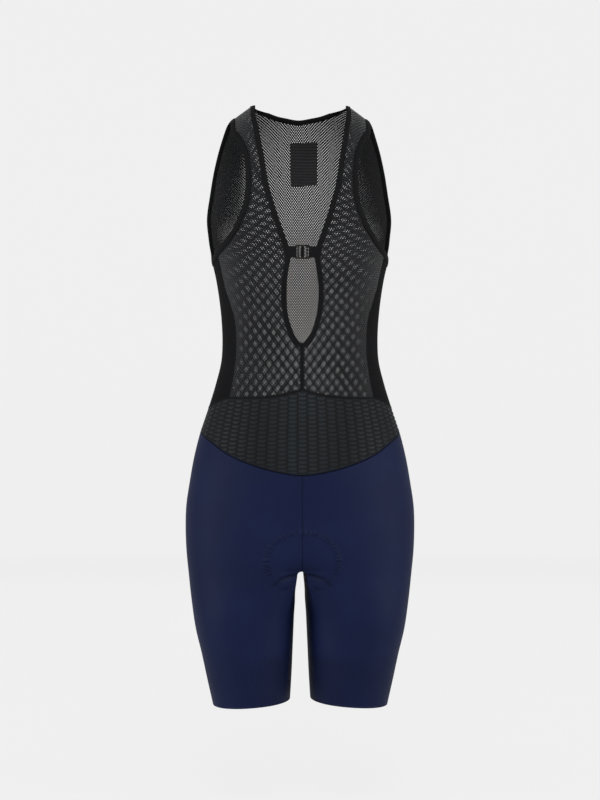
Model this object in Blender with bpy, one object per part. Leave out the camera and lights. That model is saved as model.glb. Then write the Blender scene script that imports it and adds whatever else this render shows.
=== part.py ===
"""Cycling bib shorts, worn and hollow, as separate cut pieces 0.3 mm apart.

The cloth follows a smooth general figure.  The figure is a stack of level
sections: its upper part closes over the shoulders as a dome whose crest slopes
down towards the arms, and below the crotch it divides into two legs.  Every
panel is a grid between seam lines laid on that figure, and each seam line has
the same stations for the pieces on both of its sides.

Sizes are in millimetres and become metres when a mesh is made.  The origin is
midway between the crests of the shoulder straps, +Z is up and the wearer
faces -Y.  Half pieces are worked out for the -X side and mirrored.
"""
import math

import bmesh
import bpy
import numpy as np
from mathutils.bvhtree import BVHTree

MM = 0.001

# ---------------------------------------------------------------- cloth
WALL = 1.6                # cloth wall of the upper panels
SHORTS_WALL = 1.8         # cloth wall of the shorts
HALF_GAP = 0.15           # each piece stops this far from its seam line
NECK_BAND = 8.0           # width of the neck and keyhole binding
ARM_BAND = 9.0            # width of the armhole binding
BAND_EDGE = 0.25          # how far a binding stands proud at its edges
BAND_CROWN = 0.7          # and at its middle

# ---------------------------------------------------------------- figure
BUST_LEVEL = -210.0       # the dome of the shoulders starts here
DOME_POWER = 3.0          # roundness of that dome, seen from the side
SHOULDER_SLOPE = 0.8      # fall of the shoulder crest away from the neck
SLOPE_ROUNDING = 40.0     # how softly that slope starts at the centre
CREST_X = 67.5            # the crest is at z = 0 this far from the centre

FIGURE = (
    # level, half width, front depth, back depth, squareness
    (0, 110.5, 70, 74, 2.9),
    (-50, 125.0, 82, 84, 2.8),
    (-100, 134.5, 92, 91, 2.6),
    (-150, 138.5, 100, 94, 2.4),
    (-180, 136.0, 104, 94, 2.3),
    (-210, 130.5, 105, 91, 2.2),
    (-245, 121.7, 103, 86, 2.2),
    (-280, 115.9, 98, 80, 2.2),
    (-314, 112.5, 92, 75, 2.2),
    (-340, 111.6, 89, 73, 2.2),
    (-366, 113.0, 88, 74, 2.2),
    (-400, 121.0, 90, 79, 2.2),
    (-435, 131.8, 95, 87, 2.2),
    (-470, 143.3, 99, 97, 2.2),
    (-504, 151.9, 102, 107, 2.2),
    (-540, 158.4, 104, 114, 2.2),
    (-575, 163.4, 103, 117, 2.3),
    (-608, 164.3, 102, 117, 2.4),
    (-640, 163.0, 99.5, 113, 2.5),
    (-670, 160.0, 97, 107, 2.6),
    (-705, 156.0, 94, 98, 2.6),
    (-740, 150.5, 91, 89, 2.6),
)

# ---------------------------------------------------------------- seam lines, -X half
NECK_EDGE = (
    # level, distance from centre: neckline from the crest to the keyhole's foot
    (0, 66.8), (-15, 65.1), (-44, 60.4), (-91, 52.8), (-135, 45.2), (-154, 39.6),
    (-174, 33.1), (-193, 26.1), (-210, 19.6), (-226, 17.0), (-243, 19.4), (-257, 21.3),
    (-272, 22.1), (-287, 21.9), (-302, 20.2), (-317, 16.6), (-332, 10.5), (-341, 4.6),
    (-343, 0),
)
BACK_NECK = (
    # level, distance from centre: back neckline from the crest to the centre
    (0, 66.8), (-4, 61.5), (-14, 50), (-26, 33), (-32.5, 18), (-36.5, 0),
)
ARM_FRONT = (
    # level, distance from centre: front edge of the armhole from the crest down
    (0, 102.5), (-20, 99.8), (-41, 92.3), (-58, 86.5), (-74, 82), (-89, 80), (-109, 79),
    (-127, 79.6), (-147, 82.5), (-160, 87.5), (-174, 93.5), (-189, 102.5), (-202, 111.5),
    (-212, 119.5),
)
ARM_FOOT = (
    # level, angle round the figure in degrees (180 = side line): foot of the armhole
    (-219.5, 169), (-223.8, 175), (-223.5, 180), (-219.5, 184.3),
)
ARM_BACK = (
    # level, distance from centre: back edge of the armhole from its foot up
    (-211, 128.5), (-200, 130), (-180, 131.3), (-150, 131.8), (-100, 126), (-50, 116.5),
    (-20, 108.7), (0, 102.5),
)
FRONT_SEAM = (
    # level, distance from centre: front mesh to side panel
    (-225, 117.4), (-245, 112.8), (-266, 108), (-287, 101.4), (-304, 96.3), (-324, 93.4),
    (-342, 92.9), (-361, 93.3), (-380, 95.7), (-399, 98.6), (-420.5, 103),
)
BACK_SEAM = (
    # level, distance from centre: side panel to back mesh
    (-228, 119), (-245, 113.5), (-266, 108), (-287, 102), (-304, 98), (-324, 96),
    (-342, 96), (-361, 97.5), (-380, 100.5), (-399, 104), (-429, 110),
)
WAIST_FRONT = (
    # distance from centre, top level, bottom level
    (0, -408.5, -527.7), (8, -411.5, -527.2), (27, -416.5, -524.5), (48, -419.3, -520),
    (71, -420.5, -513), (90, -420.5, -505.5), (103, -420.5, -499), (125, -429.8, -484),
)
WAIST_SIDE = (-433.5, -466)            # top and bottom level at the side line
WAIST_BACK = (
    # distance from centre, top level, bottom level
    (110, -429, -461), (75, -426, -458.5), (38, -424.5, -457), (0, -424, -456.5),
)

# ---------------------------------------------------------------- crotch and legs
CROTCH_LEVEL = -664.0     # where the centre seams turn under
CROTCH_SAG = 5.5          # the crotch line is this much lower at its middle
FRONT_TURN = (-622.0, 13.5)   # level where the front seam starts to turn in, and how far
BACK_TURN = (-605.0, 22.0)    # the same at the back
TURN_WIDTH = 28.0         # sideways reach of that turn
LEG_GAP = 6.4             # half the space between the legs just under the crotch
ARCH_DEPTH = 9.0          # the space opens to that width over this depth
ARCH_REACH = 20.0         # how far the arch pushes the front and back aside
LEG_BLEND = 75.0          # depth over which the hips' section becomes a leg's
HEM_LEVEL = -853.5
HEM_TILT = 4.0            # the hem is this much lower at its outer side

LEG = (
    # level, outer x, inner x, front y, back y, squareness outside and inside
    (-664, 161.0, 0.0, -93.0, 103.0, 2.4, 3.4),
    (-676, 159.8, 6.5, -92.5, 101.0, 2.4, 3.3),
    (-711, 155.5, 8.0, -91.0, 94.0, 2.35, 3.0),
    (-746, 149.8, 9.4, -88.5, 86.0, 2.3, 2.7),
    (-780, 141.1, 10.8, -85.5, 79.0, 2.25, 2.5),
    (-815, 133.2, 12.3, -81.5, 72.0, 2.2, 2.3),
    (-858, 123.4, 15.0, -76.0, 65.0, 2.2, 2.2),
)

# ---------------------------------------------------------------- seat pad
PAD_RELIEF = 1.6          # the pad lifts the cloth this much
PAD_CENTRE = -647.0       # level of its middle, seen from the front or back
PAD_FRONT_HALF = (53.0, 43.0)   # half width and half height of its front outline
PAD_BACK_HALF = (72.0, 50.0)    # and of its back outline
PAD_EDGE = 2.0            # thickness at its rim
PAD_THICK = 8.0           # and at its middle
PAD_SHARES = (0.0, 0.077, 0.192, 0.385, 0.69, 1.0)   # its points from the centre line out
PAD_FAN = (22.5, 45, 67.5, 90)  # degrees below level at which its lines spread under the crotch
PAD_TIP = 1.0             # no line of the pad is nearer than this to the tip of its outline
PAD_SLOPE = (1.08, 0.16)  # the cloth starts to rise here, in outline sizes, and over this much

# ---------------------------------------------------------------- label and clasp
LABEL_X = (-13.0, 27.5)   # the label sits a little off centre
LABEL_LEVELS = (-64.0, -115.5)
LABEL_TILT = 1.2          # its +X side is this much lower
LABEL_THICK = 0.9
LABEL_GAP = 0.65          # off the back mesh, whose flat faces bow in between their corners
SEAT_GAP = 0.3            # a piece that lies on another keeps this far off it
CLASP_LEVEL = -218.5      # middle of the clasp
CLASP_Y = -103.7          # the plane of its rings
TAB_HALF_HEIGHT = 7.8     # the cloth tabs that hold it
TAB_HALF_THICK = 1.0
TAB_GAP = 0.9             # between a tab and the binding's edge line, off which its wall leans
FOLD_X = 10.4             # each tab is folded round a bar this far from the centre
FOLD_OUTSIDE = 2.2        # radius of the fold, outside
FOLD_INSIDE = 1.4         # and inside
RAIL = (8.1, 9.4)         # inner and outer height of the rings' rails, from the middle
RING_HALF_DEPTH = 0.75
MIDDLE_BAR = (5.3, 6.5)   # each half's second bar, from the centre
LOOP_END = (-1.2, 0.0)    # the loop's last bar, which the hook holds
HOOK_STEM = (0.3, 1.9)    # the bar that the hook springs from
HOOK_BEND = (-2.3, -1.5)  # the hook's bend, beyond the loop's last bar
HOOK_LIP = -0.5           # its lip comes back this far behind that bar
HOOK_CLEAR = 0.4          # between the rings' faces and the hook
HOOK_FRONT = 0.9          # its thickness in front of the rings
HOOK_BACK = 0.8           # and behind them
HOOK_HALF_HEIGHT = 7.2    # inside the rings' rails

# ---------------------------------------------------------------- grid counts
ARM_FRONT_ROWS = 18
ARM_FOOT_COLUMNS = 5
ARM_BACK_ROWS = 15
SEAM_ROWS = 13
NECK_ROWS = 25
FRONT_COLUMNS = 7
CREST_COLUMNS = 2
BACK_NECK_COLUMNS = 6     # for each half of the scoop
WAIST_ROWS = 6
SHORTS_ROWS = 9
MEDIAL_COLUMNS = 8
LABEL_GRID = (6, 5)       # points across and down
LEG_DEPTHS = (2, 5, 10, 18, 30, 46, 68, 95, 125, 157, 190)   # rows below the crotch
ROW_CROWDING = 1.35       # above it the rows crowd towards the crotch by this power
DENSE = 400               # points on a seam line before it is cut into stations
REFINE = 8                # steps between stations while a panel's columns are spaced
SETTLE_SAMPLES = 5        # spots each way on a face of the pad that are kept off the shorts
SETTLE_ROUNDS = 8


# ================================================================ figure
def smooth_table(rows, at):
    """Every column of a table at the given first-column values, on smooth cubics.

    The slope at each row is the mean of the slopes beside it, weighted by the
    other one's interval, and the slopes at the two ends are those of the end intervals.
    """
    table = np.array(sorted(rows), dtype=float)
    knots = table[:, 0]
    values = table[:, 1:]
    steps = np.diff(knots)[:, None]
    slopes = np.diff(values, axis=0) / steps
    middle = (slopes[:-1] * steps[1:] + slopes[1:] * steps[:-1]) / (steps[:-1] + steps[1:])
    tangents = np.vstack([slopes[:1], middle, slopes[-1:]])
    at = np.clip(np.asarray(at, dtype=float), knots[0], knots[-1])
    index = np.clip(np.searchsorted(knots, at, side="right") - 1, 0, len(knots) - 2)
    step = steps[index]
    t = ((at - knots[index])[..., None]) / step
    return ((2 * t**3 - 3 * t**2 + 1) * values[index]
            + (t**3 - 2 * t**2 + t) * step * tangents[index]
            + (3 * t**2 - 2 * t**3) * values[index + 1]
            + (t**3 - t**2) * step * tangents[index + 1])


def crest_height(x):
    """Height of the shoulder crest, zero at CREST_X and falling outwards."""
    return SHOULDER_SLOPE * (math.hypot(CREST_X, SLOPE_ROUNDING) - np.hypot(x, SLOPE_ROUNDING))


def rise_to_level(rise):
    """Level and remaining depth share at a rise: straight below the bust, a dome above."""
    radius = -BUST_LEVEL
    turn = np.clip(rise, 0, None) / radius
    size = (np.abs(np.sin(turn))**DOME_POWER + np.abs(np.cos(turn))**DOME_POWER)**(1 / DOME_POWER)
    level = BUST_LEVEL + np.where(rise > 0, radius * np.sin(turn) / size, rise)
    depth = np.where(rise > 0, np.cos(turn) / size, 1.0)
    return level, depth


def level_to_rise(level):
    """The rise that gives a level: the reverse of rise_to_level."""
    radius = -BUST_LEVEL
    share = np.clip((np.asarray(level, dtype=float) - BUST_LEVEL) / radius, 0, 1)
    depth = (1 - share**DOME_POWER)**(1 / DOME_POWER)
    return np.where(level > BUST_LEVEL, radius * np.arctan2(share, depth), level - BUST_LEVEL)


def figure_point(angle, rise):
    """A point of the figure: angle round it (90 degrees = centre front, 180 = -X side)."""
    level, depth = rise_to_level(rise)
    figure = smooth_table(FIGURE, level)
    half = figure[..., 0]
    reach = np.where(np.sin(angle) > 0, figure[..., 1], figure[..., 2])
    power = figure[..., 3]
    cosine = np.cos(angle)
    sine = np.sin(angle)
    radius = (np.abs(cosine / half)**power + np.abs(sine / reach)**power)**(-1 / power)
    x = radius * cosine
    y = -radius * sine * depth
    share = np.clip((level - BUST_LEVEL) / -BUST_LEVEL, 0, 1)
    return np.stack([x, y, level + share * crest_height(x)], axis=-1)


def figure_slopes(angle, rise):
    """How a figure point moves with the angle and with the rise."""
    turn = 1e-4
    lift = 0.02
    by_angle = (figure_point(angle + turn, rise) - figure_point(angle - turn, rise)) / (2 * turn)
    by_rise = (figure_point(angle, rise + lift) - figure_point(angle, rise - lift)) / (2 * lift)
    return by_angle, by_rise


def unit(vectors):
    """Vectors at length one."""
    return vectors / np.linalg.norm(vectors, axis=-1, keepdims=True)


def figure_normal(angle, rise):
    """The figure's outward direction."""
    by_angle, by_rise = figure_slopes(angle, rise)
    return unit(np.cross(by_rise, by_angle))


def on_figure(distance, level, side):
    """Angle and rise of a point on the -X half, at a distance from the centre.

    side is "front" or "back".
    """
    level = np.asarray(level, dtype=float)
    figure = smooth_table(FIGURE, level)
    power = figure[..., 3]
    share = np.clip(np.asarray(distance, dtype=float) / figure[..., 0], 0, 1)
    reach = (1 - share**power)**(1 / power)
    if side == "front":
        angle = np.arctan2(figure[..., 1] * reach, -share * figure[..., 0])
    else:
        angle = 2 * math.pi - np.arctan2(figure[..., 2] * reach, -share * figure[..., 0])
    return np.stack([angle, level_to_rise(level)], axis=-1)


def rows_on_figure(rows, side):
    """A seam table of (level, distance) rows as angle and rise."""
    table = np.array(rows, dtype=float)
    return on_figure(table[:, 1], table[:, 0], side)


# ================================================================ seam lines
def dense_line(points):
    """Many points on a smooth line through a few, as angle and rise."""
    spots = figure_point(points[:, 0], points[:, 1])
    chords = np.linalg.norm(np.diff(spots, axis=0), axis=1)
    along = np.concatenate([[0], np.cumsum(chords)])
    return smooth_table(np.column_stack([along, points]).tolist(), np.linspace(0, along[-1], DENSE))


def stations(line, count, start=0.0, end=1.0):
    """count + 1 points, evenly spaced in real length, on a dense line between two shares."""
    along = length_shares(line)
    at = np.linspace(start, end, count + 1)
    return np.column_stack([np.interp(at, along, line[:, k]) for k in range(2)])


def move_across(line, width):
    """A line moved sideways on the figure by a width, square to its run.

    A positive width moves it to the left of its run, seen from outside.
    """
    moved = line.copy()
    spots = figure_point(line[:, 0], line[:, 1])
    run = unit(np.gradient(spots, axis=0))
    across = unit(np.cross(figure_normal(line[:, 0], line[:, 1]), run))
    pieces = 6
    for _ in range(pieces):
        by_angle, by_rise = figure_slopes(moved[:, 0], moved[:, 1])
        aa = np.sum(by_angle * by_angle, axis=1)
        ar = np.sum(by_angle * by_rise, axis=1)
        rr = np.sum(by_rise * by_rise, axis=1)
        ca = np.sum(across * by_angle, axis=1)
        cr = np.sum(across * by_rise, axis=1)
        spread = aa * rr - ar * ar
        step = width / pieces
        moved[:, 0] += step * (ca * rr - cr * ar) / spread
        moved[:, 1] += step * (cr * aa - ca * ar) / spread
    return moved


def nearest_share(line, point):
    """The share of a dense line's length at which it passes nearest to a point."""
    spots = figure_point(line[:, 0], line[:, 1])
    target = figure_point(point[0], point[1])
    return length_shares(line)[np.argmin(np.linalg.norm(spots - target, axis=1))]


def waist_line(column):
    """The waist panel's top (column 1) or bottom (column 2) line, centre front to centre back."""
    front = [on_figure(row[0], row[column], "front") for row in WAIST_FRONT]
    side = [np.array([math.pi, float(level_to_rise(WAIST_SIDE[column - 1]))])]
    back = [on_figure(row[0], row[column], "back") for row in WAIST_BACK]
    return dense_line(np.array(front + side + back))


def at_angles(line, angles):
    """Points of a line at given angles."""
    return np.column_stack([angles, np.interp(angles, line[:, 0], line[:, 1])])


def over_the_crest(point):
    """The back's angle and rise for a point of the front that lies on the shoulder crest."""
    distance = -float(figure_point(point[0], point[1])[0])
    return on_figure(distance, 0.0, "back")


def seam_stations():
    """Every seam line's stations on the -X half, each shared by the pieces beside it."""
    top_rise = float(level_to_rise(0.0))
    lines = {}

    # neck edge and the outer edge of its binding, from the crest down
    edge = stations(dense_line(rows_on_figure(NECK_EDGE, "front")), NECK_ROWS)
    outer = move_across(edge, -NECK_BAND)
    outer[0, 1] = top_rise
    outer[-1, 0] = math.pi / 2
    lines["neck edge"] = edge
    lines["neck seam"] = outer
    back_edge = stations(dense_line(rows_on_figure(BACK_NECK, "back")), BACK_NECK_COLUMNS)
    back_outer = move_across(back_edge, NECK_BAND)
    back_outer[0] = over_the_crest(outer[0])
    back_outer[-1, 0] = 3 * math.pi / 2
    lines["back neck edge"] = back_edge
    lines["back neck seam"] = back_outer

    # armhole, from the crest down the front, under the arm and up the back
    foot = np.array([[math.radians(row[1]), float(level_to_rise(row[0]))] for row in ARM_FOOT])
    loop = dense_line(np.vstack([rows_on_figure(ARM_FRONT, "front"), foot,
                                 rows_on_figure(ARM_BACK, "back")]))
    loop_outer = move_across(loop, ARM_BAND)
    first = nearest_share(loop_outer, on_figure(FRONT_SEAM[0][1], FRONT_SEAM[0][0], "front"))
    last = nearest_share(loop_outer, on_figure(BACK_SEAM[0][1], BACK_SEAM[0][0], "back"))
    arm = np.vstack([stations(loop, ARM_FRONT_ROWS, 0, first),
                     stations(loop, ARM_FOOT_COLUMNS, first, last)[1:],
                     stations(loop, ARM_BACK_ROWS, last, 1)[1:]])
    arm_outer = move_across(arm, ARM_BAND)
    arm_outer[0, 1] = top_rise
    arm_outer[-1] = over_the_crest(arm_outer[0])
    lines["arm edge"] = arm
    lines["arm seam"] = arm_outer

    # waist panel
    top = waist_line(1)
    bottom = waist_line(2)
    front_foot = on_figure(FRONT_SEAM[-1][1], FRONT_SEAM[-1][0], "front")
    back_foot = on_figure(BACK_SEAM[-1][1], BACK_SEAM[-1][0], "back")
    front_foot[1] = np.interp(front_foot[0], top[:, 0], top[:, 1])
    back_foot[1] = np.interp(back_foot[0], top[:, 0], top[:, 1])
    share_front = nearest_share(top, front_foot)
    share_back = nearest_share(top, back_foot)
    back_columns = CREST_COLUMNS + BACK_NECK_COLUMNS
    waist_top = np.vstack([stations(top, FRONT_COLUMNS, 0, share_front),
                           stations(top, ARM_FOOT_COLUMNS, share_front, share_back)[1:],
                           stations(top, back_columns, share_back, 1)[1:]])
    lines["waist top"] = waist_top
    lines["waist bottom"] = at_angles(bottom, waist_top[:, 0])

    # seams of the side panel: from the armhole binding to the waist panel
    corner = ARM_FRONT_ROWS
    front_rows = rows_on_figure(FRONT_SEAM[1:-1], "front")
    front_ends = (arm_outer[corner], waist_top[FRONT_COLUMNS])
    lines["front seam"] = stations(
        dense_line(np.vstack([front_ends[0], front_rows, front_ends[1]])), SEAM_ROWS)
    corner += ARM_FOOT_COLUMNS
    back_rows = rows_on_figure(BACK_SEAM[1:-1], "back")
    back_ends = (arm_outer[corner], waist_top[FRONT_COLUMNS + ARM_FOOT_COLUMNS])
    lines["back seam"] = stations(
        dense_line(np.vstack([back_ends[0], back_rows, back_ends[1]])), SEAM_ROWS)
    return lines


def mirror_angle(points):
    """Angle and rise of the same points on the +X half."""
    return np.column_stack([math.pi - points[:, 0], points[:, 1]])


def straight(start, end, count):
    """Evenly spaced points from start to end, as angle and rise."""
    share = np.linspace(0, 1, count + 1)[:, None]
    return (1 - share) * np.asarray(start) + share * np.asarray(end)


# ================================================================ meshes
def coons(top, bottom, left, right):
    """A grid between four lines of stations that share their corners.

    Each point is what the top and bottom give plus what the sides give, less
    what the four corners give.
    """
    across = np.linspace(0, 1, len(top))[None, :, None]
    down = np.linspace(0, 1, len(left))[:, None, None]
    rows = (1 - down) * top[None] + down * bottom[None]
    columns = (1 - across) * left[:, None] + across * right[:, None]
    corners = ((1 - down) * ((1 - across) * top[0] + across * top[-1])
               + down * ((1 - across) * bottom[0] + across * bottom[-1]))
    return rows + columns - corners


def length_shares(line):
    """How far along its real length each point of a line lies, from 0 to 1."""
    spots = figure_point(line[:, 0], line[:, 1])
    along = np.concatenate([[0], np.cumsum(np.linalg.norm(np.diff(spots, axis=0), axis=1))])
    return along / along[-1]


def refine(line):
    """A line with REFINE steps between each two of its points."""
    fine = np.arange((len(line) - 1) * REFINE + 1) / REFINE
    return np.column_stack([np.interp(fine, np.arange(len(line)), line[:, k]) for k in range(2)])


def patch(top, bottom, left, right):
    """A grid between four lines whose columns are spaced by real length.

    Each column's points lie at the shares of its length that the left and
    right lines' points have, mixed by how near it is to each.
    """
    fine = coons(top, bottom, refine(left), refine(right))
    left_shares = length_shares(refine(left))[::REFINE]
    right_shares = length_shares(refine(right))[::REFINE]
    grid = np.empty((len(left), len(top), 2))
    for column in range(len(top)):
        near_right = column / (len(top) - 1)
        wanted = (1 - near_right) * left_shares + near_right * right_shares
        along = length_shares(fine[:, column])
        for k in range(2):
            grid[:, column, k] = np.interp(wanted, along, fine[:, column, k])
    grid[:, 0] = left
    grid[:, -1] = right
    return grid


def grid_rim(rows, columns):
    """Indices of a grid's edge, once round."""
    index = np.arange(rows * columns).reshape(rows, columns)
    return np.concatenate([index[0, :-1], index[:-1, -1], index[-1, :0:-1], index[:0:-1, 0]])


def grid_quads(rows, columns):
    """The faces of a grid, as four indices each."""
    index = np.arange(rows * columns).reshape(rows, columns)
    return np.stack([index[:-1, :-1], index[:-1, 1:], index[1:, 1:], index[1:, :-1]],
                    axis=-1).reshape(-1, 4)


def pull_in_rim(points, normals, rim, distance):
    """Moves a panel's edge in by a distance, square to the edge and on its surface."""
    moved = points.copy()
    edge = points[rim]
    ahead = unit(np.roll(edge, -1, axis=0) - edge)
    behind = np.roll(ahead, 1, axis=0)
    normal = normals[rim]
    in_ahead = unit(np.cross(normal, ahead))
    in_behind = unit(np.cross(normal, behind))
    middle = points.mean(axis=0)
    if np.sum(in_ahead * (middle - edge)) < 0:
        in_ahead = -in_ahead
        in_behind = -in_behind
    meet = np.clip(1 + np.sum(in_ahead * in_behind, axis=1, keepdims=True), 0.35, None)
    moved[rim] += distance * (in_ahead + in_behind) / meet
    return moved


def wall_faces(quads, loops, count):
    """The faces of a wall: outer skin, inner skin and a rim round each loop."""
    faces = [quads, quads[:, ::-1] + count]
    for loop in loops:
        after = np.roll(loop, -1)
        faces.append(np.stack([after, loop, loop + count, after + count], axis=1))
    return np.concatenate(faces)


def outward(points, faces):
    """The faces turned so that the solid they close has a positive volume."""
    a, b, c, d = (points[faces[:, k]] for k in range(4))
    volume = np.sum(np.cross(b - a, c - a) * a) + np.sum(np.cross(c - a, d - a) * a)
    return faces if volume > 0 else faces[:, ::-1]


def add_object(name, points, faces, material):
    """A Blender object from points in millimetres and quads."""
    mesh = bpy.data.meshes.new(name)
    mesh.from_pydata((np.asarray(points) * MM).tolist(), [], outward(points, faces).tolist())
    mesh.validate()
    mesh.update()
    mesh.materials.append(material)
    mesh.shade_smooth()
    mesh.set_sharp_from_angle(angle=math.radians(40))
    thing = bpy.data.objects.new(name, mesh)
    bpy.context.scene.collection.objects.link(thing)
    return thing


def add_pair(name, points, faces, material):
    """The -X piece as NAME_right, the wearer's right, and its mirror image as NAME_left."""
    mirrored = points * (-1, 1, 1)
    add_object(name + "_right", points, faces, material)
    add_object(name + "_left", mirrored, faces, material)


def panel(grid, wall):
    """Points and faces of a cloth panel from a grid of angles and rises."""
    rows, columns = grid.shape[:2]
    flat = grid.reshape(-1, 2)
    points = figure_point(flat[:, 0], flat[:, 1])
    normals = figure_normal(flat[:, 0], flat[:, 1])
    rim = grid_rim(rows, columns)
    outer = pull_in_rim(points, normals, rim, HALF_GAP)
    inner = outer - wall * normals
    faces = wall_faces(grid_quads(rows, columns), [rim], len(outer))
    return np.vstack([outer, inner]), faces


def binding_rings(edge, seam):
    """Six points at each station of a binding: outer face, then inner face, edge to seam.

    edge and seam are its two sides as angle and rise.  The seam side stops
    half a gap short of its seam line.
    """
    middle = (edge + seam) / 2
    sides = [edge, middle, seam]
    spots = [figure_point(side[:, 0], side[:, 1]) for side in sides]
    normals = [figure_normal(side[:, 0], side[:, 1]) for side in sides]
    spots[2] = spots[2] + HALF_GAP * unit(spots[0] - spots[2])
    proud = (BAND_EDGE, BAND_CROWN, BAND_EDGE)
    outer = [spot + high * normal for spot, high, normal in zip(spots, proud, normals)]
    inner = [spot - (WALL + high) * normal for spot, high, normal in zip(spots, proud, normals)]
    return np.stack(outer + inner[::-1], axis=1)


def tube_faces(count, sides, closed):
    """The faces between rings of points, with the ends capped unless it is closed."""
    index = np.arange(count * sides).reshape(count, sides)
    after = np.roll(index, -1, axis=0) if closed else index[1:]
    here = index if closed else index[:-1]
    faces = np.stack([here, np.roll(here, -1, axis=1), np.roll(after, -1, axis=1), after],
                     axis=-1).reshape(-1, 4)
    if closed:
        return faces
    caps = []
    for ring in (index[0][::-1], index[-1]):
        for low in range(sides // 2 - 1):
            caps.append([ring[low], ring[low + 1], ring[sides - 2 - low], ring[sides - 1 - low]])
    return np.vstack([faces, caps])


# ================================================================ upper pieces
def add_front_mesh(lines, material):
    """Front panels: crest to waist, between the armhole and side seam and the neckline."""
    left = np.vstack([lines["arm seam"][:ARM_FRONT_ROWS + 1], lines["front seam"][1:]])
    centre_rows = len(left) - 1 - NECK_ROWS
    neck_foot = lines["neck seam"][-1]
    centre = straight(neck_foot, lines["waist top"][0], centre_rows)
    right = np.vstack([lines["neck seam"], centre[1:]])
    top = straight(left[0], right[0], FRONT_COLUMNS)
    bottom = lines["waist top"][FRONT_COLUMNS::-1]
    add_pair("front_mesh", *panel(patch(top, bottom, left, right), WALL), material)


def add_side_panel(lines, material):
    """Side panels: from the foot of the armhole to the waist panel."""
    first = ARM_FRONT_ROWS
    last = first + ARM_FOOT_COLUMNS
    top = lines["arm seam"][first:last + 1]
    bottom = lines["waist top"][FRONT_COLUMNS:FRONT_COLUMNS + ARM_FOOT_COLUMNS + 1]
    grid = patch(top, bottom, lines["front seam"], lines["back seam"])
    add_pair("side_panel", *panel(grid, WALL), material)


def add_back_mesh(lines, material):
    """The back panel, from one side seam across to the other, with a scooped neck."""
    arm = lines["arm seam"][ARM_FRONT_ROWS + ARM_FOOT_COLUMNS:][::-1]
    left = np.vstack([arm, lines["back seam"][1:]])
    crest = straight(left[0], lines["back neck seam"][0], CREST_COLUMNS)
    half_top = np.vstack([crest, lines["back neck seam"][1:]])
    half_bottom = lines["waist top"][FRONT_COLUMNS + ARM_FOOT_COLUMNS:]
    full_turn = (2 * math.pi, 0)
    top = np.vstack([half_top, mirror_angle(half_top[-2::-1]) + full_turn])
    bottom = np.vstack([half_bottom, mirror_angle(half_bottom[-2::-1]) + full_turn])
    right = mirror_angle(left) + full_turn
    points, faces = panel(patch(top, bottom, left, right), WALL)
    add_object("back_mesh", points, faces, material)


def add_neck_binding(lines, material):
    """One binding: up one side of the keyhole and neck, round the back and down the other."""
    front = binding_rings(lines["neck edge"], lines["neck seam"])[::-1]
    back = binding_rings(lines["back neck edge"], lines["back neck seam"])[1:]
    half = np.concatenate([front, back])
    half[0, :, 0] = -HALF_GAP
    half[-1, :, 0] = 0
    other = half[-2::-1] * (-1, 1, 1)
    rings = np.concatenate([half, other])
    faces = tube_faces(len(rings), rings.shape[1], closed=False)
    add_object("neck_binding", rings.reshape(-1, 3), faces, material)


def add_armhole_bindings(lines, material):
    """A closed binding round each armhole."""
    rings = binding_rings(lines["arm edge"], lines["arm seam"])[:-1]
    faces = tube_faces(len(rings), rings.shape[1], closed=True)
    add_pair("armhole_binding", rings.reshape(-1, 3), faces, material)


def add_waist_panel(lines, material):
    """The knitted waist panel, once round, with its ends at the centre back."""
    top = np.vstack([mirror_angle(lines["waist top"][::-1]), lines["waist top"][1:]])
    bottom = np.vstack([mirror_angle(lines["waist bottom"][::-1]), lines["waist bottom"][1:]])
    left = straight(top[0], bottom[0], WAIST_ROWS)
    right = straight(top[-1], bottom[-1], WAIST_ROWS)
    points, faces = panel(patch(top, bottom, left, right), WALL)
    add_object("waist_panel", points, faces, material)


def add_label(material):
    """The bare woven label inside the back of the neck, on the back mesh's inner face."""
    x = np.linspace(LABEL_X[0], LABEL_X[1], LABEL_GRID[0])[None, :]
    level = np.linspace(LABEL_LEVELS[0], LABEL_LEVELS[1], LABEL_GRID[1])[:, None]
    level = level - LABEL_TILT * (x - LABEL_X[0]) / (LABEL_X[1] - LABEL_X[0])
    x = np.broadcast_to(x, level.shape)
    grid = on_figure(np.abs(x), level, "back")
    grid[..., 0] = np.where(x > 0, 3 * math.pi - grid[..., 0], grid[..., 0])
    flat = grid.reshape(-1, 2)
    normals = figure_normal(flat[:, 0], flat[:, 1])
    near = figure_point(flat[:, 0], flat[:, 1]) - (WALL + LABEL_GAP) * normals
    faces = wall_faces(grid_quads(*level.shape), [grid_rim(*level.shape)], len(near))
    add_object("neck_label", np.vstack([near, near - LABEL_THICK * normals]), faces, material)


# ================================================================ clasp
def tab_outline(tail):
    """A tab seen from above: a fold round a bar, and a flat tail of a given length.

    Both outlines are lists of (x, y) about the bar: the outside and the hole.
    """
    corner = math.atan2(TAB_HALF_THICK, tail)
    turns = np.radians(np.arange(-150, 151, 30))
    turns = np.concatenate([turns, [math.pi - corner, math.pi, math.pi + corner]])
    sine = np.maximum(np.abs(np.sin(turns)), 1e-9)
    length = np.minimum(TAB_HALF_THICK / sine, tail / np.maximum(np.abs(np.cos(turns)), 1e-9))
    radius = np.where(np.cos(turns) < 0, np.maximum(FOLD_OUTSIDE, length), FOLD_OUTSIDE)
    round_turns = np.stack([np.cos(turns), np.sin(turns)], axis=1)
    return radius[:, None] * round_turns, FOLD_INSIDE * round_turns


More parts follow.
